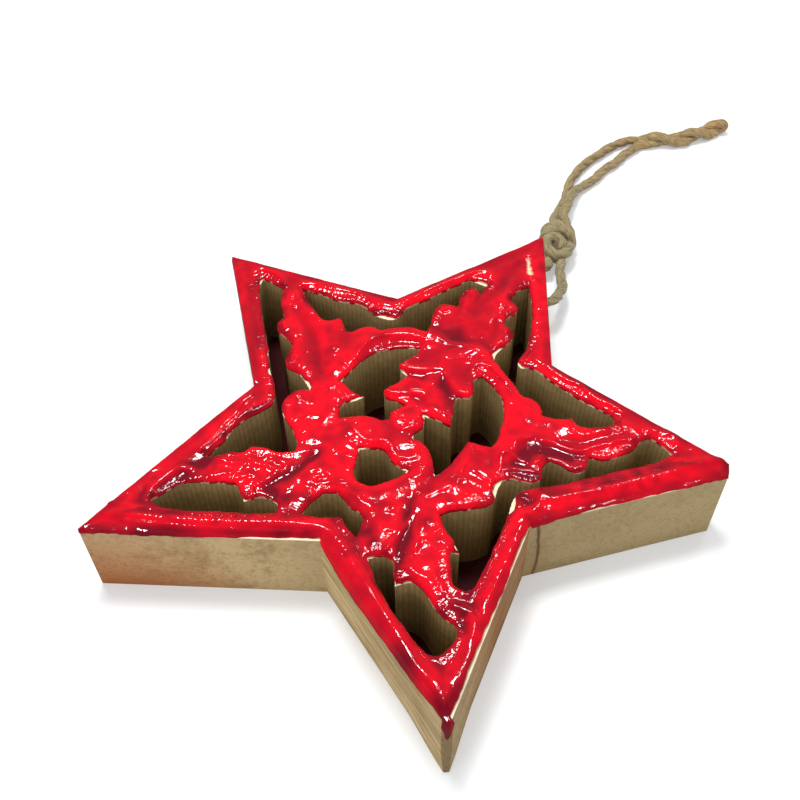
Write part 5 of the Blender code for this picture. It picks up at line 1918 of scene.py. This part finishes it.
@dataclass(frozen=True)
class Jute(Finish):
    """Dull olive-tan jute with streaks of its fibres."""

    name: str = "jute"
    olive: Colour = (0.32, 0.25, 0.125)
    pale: Colour = (0.30, 0.255, 0.135)
    golden: Colour = (0.37, 0.24, 0.095)
    # The colour of the painted shade in the knot's hollows.
    hollow_shade: Colour = (0.09, 0.062, 0.03)

    def dress(self, tree: Tree) -> dict:
        """Colour in streaks along the plies, golden towards the loop's far end."""
        lay = node(tree, "Attribute", attribute_name="lay").outputs["Vector"]
        streaks = node(tree, "TexNoise", scaled(tree, lay, (1.0, 1.0, 200.0)), Scale=3.2,
                       Detail=4.0).outputs["Fac"]
        along = place_along(tree, "Y")
        far = in_range(tree, along, 0.095, 0.150)
        near = in_range(tree, along, 0.086, 0.079)
        patchy = ramp(tree, noise_value(tree, 160.0, 2.0), (0.42, 0.0), (0.62, 1.0))
        patchy = sum_up(tree, "MULTIPLY_ADD", patchy, 0.6, 0.55)
        golden = sum_up(tree, "MULTIPLY", far, patchy, clamp=True)
        base = mixed(tree, golden, self.olive, self.golden)
        base = mixed(tree, near, base, self.pale)
        tone = ramp(tree, streaks, (0.34, (0.48, 0.44, 0.37)), (0.62, (1.12, 1.11, 1.08)))
        colour = mixed(tree, 1.0, base, tone, "MULTIPLY")
        # Painted shade: the knot's core takes the dark hollow colour.
        colour = mixed(tree, mark_of(tree, "hollow_shade"), colour, self.hollow_shade)
        return {"Base Color": colour, "Roughness": 0.9, "Sheen Weight": 0.2,
                "Normal": bumped(tree, streaks, 0.5, 0.0001)}


@dataclass
class Hanger:
    """The twine: a strand through the hanging tip, its knot and the hanging loop."""

    strand_length: float = 0.056
    loop_length: float = 0.167
    core_half: Place = (2.9, 4.3, 2.5)
    core_shift: Place = (0.0, 0.2, -0.3)
    wraps: tuple = (
        (((-1.6, 7.0, 0.0), (-1.7, 4.9, 0.6), (-1.9, 3.4, 0.7), (-1.2, 1.6, 0.5)), 0.92),
        (((1.6, 7.0, 0.0), (1.6, 4.9, 0.2), (1.4, 3.4, 0.5), (0.8, 1.6, 0.4)), 0.92),
        (((-2.2, 3.1, -2.2), (-3.5, 3.0, -0.6), (-3.2, 3.2, 1.3), (-1.2, 3.6, 2.4),
          (1.2, 3.7, 2.4), (3.0, 3.2, 1.5), (3.6, 2.4, -0.4), (2.2, 2.2, -2.3),
          (-0.4, 2.6, -2.6), (-2.2, 3.1, -2.2)), 1.1),
        (((1.6, 2.8, -1.9), (2.8, 1.6, -0.6), (3.1, -0.2, 0.6), (2.9, -2.4, 1.2),
          (1.7, -4.3, 1.4), (0.0, -4.9, 1.4), (-1.7, -4.0, 1.8), (-2.7, -2.2, 2.2),
          (-2.4, -0.4, 2.4), (-1.0, 0.6, 2.4), (0.6, 0.3, 2.0), (1.2, -0.9, 1.2),
          (0.7, -2.0, 0.2), (0.0, -2.4, -0.8)), 1.08),
        (((-2.5, 4.7, -1.5), (-3.4, 5.0, 0.1), (-2.5, 5.3, 1.8), (-0.2, 5.5, 2.4),
          (2.0, 5.1, 1.8), (2.8, 4.5, 0.0), (2.0, 4.3, -1.6), (-0.2, 4.5, -2.1),
          (-2.5, 4.7, -1.5)), 1.15),
        (((-3.0, 1.2, -1.6), (-3.5, -0.6, -0.4), (-3.1, -2.6, 0.3), (-2.2, -4.6, 0.2),
          (-1.6, -7.0, 0.0)), 0.86),
        (((-0.4, -1.2, -0.4), (0.2, -2.8, -0.6), (1.0, -4.5, -0.4), (1.6, -7.0, 0.0)), 0.86),
        (((2.6, 0.6, -2.0), (1.0, -1.4, -2.5), (-1.4, -1.2, -2.5), (-2.8, 0.8, -2.0)), 1.0),
    )

    def build(self, material: bpy.types.Material) -> None:
        routes = TwineRoutes()
        twine = JuteTwine()
        through = routes.through_tip()
        loop = routes.loop()
        knot = self.knot(routes, twine, material)
        strand = add_piece("twine_through_tip", twine.spun(through), material, "hanger",
                           ("tip_strand",))
        hanging = add_piece("twine_loop", twine.spun(loop), material, "hanger",
                            ("hanging_loop",))

    def knot(self, routes: TwineRoutes, twine: JuteTwine, material: bpy.types.Material
             ) -> bpy.types.Object:
        """The knot: the twine's two strands wrapped over each other.

        Args:
            routes: Where the knot lies.
            twine: How the twine is spun.
            material: The jute.

        Returns:
            The knot's object.
        """
        place = Matrix.Translation(routes.hole) @ routes.knot_frame()
        shape = bmesh.new()
        lay = shape.verts.layers.float_vector.new("lay")
        hollow_shade = shape.verts.layers.float.new("hollow_shade")
        core = bmesh.ops.create_icosphere(shape, subdivisions=4, radius=1.0)["verts"]
        for corner in core:
            way = corner.co.copy()
            swell = 1.0 + 0.12 * noise.noise(way * 2.0)
            spot = Vector(a * b for a, b in zip(way, self.core_half)) * swell
            corner.co = place @ ((spot + Vector(self.core_shift)) * MILLIMETRE)
            corner[lay] = Vector((way.x, way.z, way.y * 0.01))
            # Painted shade: the knot's core, between the wraps, is marked to take the dark hollow
            # colour.
            corner[hollow_shade] = 0.85
        for wrap, thick in self.wraps:
            points = [place @ (Vector(point) * MILLIMETRE) for point in wrap]
            part = twine.spun(smooth_route(points, 0.001), thick)
            shape.from_mesh(part)
            bpy.data.meshes.remove(part)
        mesh = to_mesh(shape, "twine_knot")
        mesh.shade_smooth()
        return add_piece("twine_knot", mesh, material, "hanger", ("loop_knot",))


@dataclass
class Studio:
    """The camera at the photograph's place, a pale floor and soft light."""

    eye: Place = (0.064517, -0.107853, 0.168259)
    aim: Place = (-0.003968, 0.002855, 0.018)
    roll: float = math.radians(-0.965)
    lens: float = 44.304
    sensor: float = 36.0
    floor_size: float = 4.0
    floor_drop: float = 0.00005
    floor_bounce: Colour = (0.84, 0.86, 0.88)
    floor_seen: Colour = (0.655, 0.67, 0.685)
    floor_mirrored: Colour = (0.10, 0.09, 0.09)
    floor_glow: float = 0.285
    glow_from: float = 0.35
    glow_to: float = 1.1
    soft_way: Place = (0.10, -0.75, 0.35)
    soft_levels: tuple[float, float] = (0.25, 1.15)
    gloss_way: Place = (-0.30, 0.75, 0.45)
    gloss_levels: tuple[float, float] = (0.03, 0.16)
    lamps: tuple = (("overhead", (-0.12, 0.07, 0.62), 0.17, 0.12, 2.8),
                    ("narrow", (0.05, 0.26, 0.60), 0.12, 0.03, 0.5))

    def build(self) -> None:
        """Set up the camera, the floor, the lamps and the world."""
        self.add_camera()
        self.add_floor()
        for lamp in self.lamps:
            self.add_lamp(*lamp)
        self.add_world()
        bpy.context.scene.view_settings.view_transform = "Standard"

    @staticmethod
    def looking(eye: Place, aim: Place) -> Matrix:
        """The turn that makes a camera or a lamp at one place look at another."""
        return (Vector(aim) - Vector(eye)).to_track_quat("-Z", "Y").to_matrix().to_4x4()

    def add_camera(self) -> None:
        """The camera, with the photograph's view and a slight roll."""
        data = bpy.data.cameras.new("camera")
        data.lens = self.lens
        data.sensor_width = self.sensor
        data.clip_start = 0.005
        camera = linked("camera", data)
        turn = self.looking(self.eye, self.aim) @ Matrix.Rotation(self.roll, 4, "Z")
        camera.matrix_world = Matrix.Translation(self.eye) @ turn
        bpy.context.scene.camera = camera

    def add_floor(self) -> None:
        """A plain white floor that keeps the object's shadow."""
        shape = bmesh.new()
        bmesh.ops.create_grid(shape, x_segments=1, y_segments=1, size=self.floor_size / 2)
        floor = linked("floor", to_mesh(shape, "floor"))
        floor.location.z = -self.floor_drop
        material, tree, shader = new_material("white_floor")
        path = node(tree, "LightPath").outputs
        away = node(tree, "VectorMath", node(tree, "TexCoord").outputs["Object"],
                    operation="LENGTH").outputs["Value"]
        glow = in_range(tree, away, self.glow_from, self.glow_to, self.floor_glow)
        pale = mixed(tree, path["Is Camera Ray"], self.floor_bounce, self.floor_seen)
        fill(tree, shader, {
            "Base Color": mixed(tree, path["Is Glossy Ray"], pale, self.floor_mirrored),
            "Roughness": 0.9, "Specular IOR Level": 0.0,
            "Emission Color": (1.0, 1.0, 1.0, 1.0),
            "Emission Strength": sum_up(tree, "MULTIPLY", path["Is Camera Ray"], glow)})
        floor.data.materials.append(material)

    def add_lamp(self, name: str, place: Place, width: float, height: float, power: float
                 ) -> None:
        """One rectangular lamp that points at the star.

        Args:
            name: Its name.
            place: Where it hangs.
            width: Its width.
            height: Its height.
            power: Its power in watts.
        """
        data = bpy.data.lights.new(name, "AREA")
        data.shape = "RECTANGLE"
        data.size = width
        data.size_y = height
        data.energy = power
        lamp = linked(name, data)
        lamp.matrix_world = Matrix.Translation(place) @ self.looking(place, (0.0, 0.0, 0.0))

    def add_world(self) -> None:
        """White for the camera, and for the rest a sky that is bright on the camera's side."""
        world = bpy.data.worlds.new("studio")
        bpy.context.scene.world = world
        world.use_nodes = True
        tree = world.node_tree
        path = node(tree, "LightPath").outputs
        way = node(tree, "TexCoord").outputs["Generated"]
        level = self.sky(tree, way, self.soft_way, self.soft_levels)
        for share, other in (
                ("Is Glossy Ray", self.sky(tree, way, self.gloss_way, self.gloss_levels)),
                ("Is Camera Ray", 1.0)):
            seen = node(tree, "Mix", path[share])
            fill(tree, seen, {2: level, 3: other})
            level = seen.outputs[0]
        fill(tree, tree.nodes["Background"], {"Color": (1.0, 1.0, 1.0, 1.0), "Strength": level})

    @staticmethod
    def sky(tree: Tree, way: Socket, bright: Place, levels: tuple[float, float]) -> Socket:
        """A sky that brightens towards one direction, and its level's socket."""
        towards = node(tree, "VectorMath", way, Vector(bright).normalized(),
                       operation="DOT_PRODUCT")
        return in_range(tree, towards.outputs["Value"], -0.2, 1.0, *levels)


@dataclass
class DeepShade:
    """A dark patch on the floor under the star, seen only through its openings."""

    height: float = -0.00003
    tip_share: float = 0.93
    valley_share: float = 0.955
    tips_beyond: float = 0.045
    colour: Colour = (0.05, 0.010, 0.011)

    def build(self, plan: StarPlan) -> None:
        """Lay the patch a little inside the star's corners."""
        shape = bmesh.new()
        corners = []
        for x, y in plan.outer.points[plan.outer.corners]:
            at_tip = math.hypot(x, y) > self.tips_beyond
            share = self.tip_share if at_tip else self.valley_share
            corners.append(shape.verts.new((x * share, y * share, self.height)))
        edges = [shape.edges.new(pair) for pair in zip(corners, corners[1:] + corners[:1])]
        bmesh.ops.triangle_fill(shape, use_beauty=True, edges=edges, normal=(0.0, 0.0, 1.0))
        patch = linked("deep_shade", to_mesh(shape, "deep_shade"))
        material, tree, shader = new_material("deep_shade")
        fill(tree, shader, {"Base Color": (*self.colour, 1.0), "Roughness": 0.8,
                            "Specular IOR Level": 0.05})
        patch.data.materials.append(material)


def main() -> None:
    """Dress the ornament piece by piece and set up the studio."""
    logging.basicConfig(level=logging.INFO, format="%(message)s")
    Studio().build()
    Hanger().build(Jute().build())
    plan = StarPlan()
    DeepShade().build(plan)
    SawnBoard().build(plan, SawnWood().build())
    EnamelCoat().build(plan, RedEnamel().build())


if __name__ == "__main__":
    main()
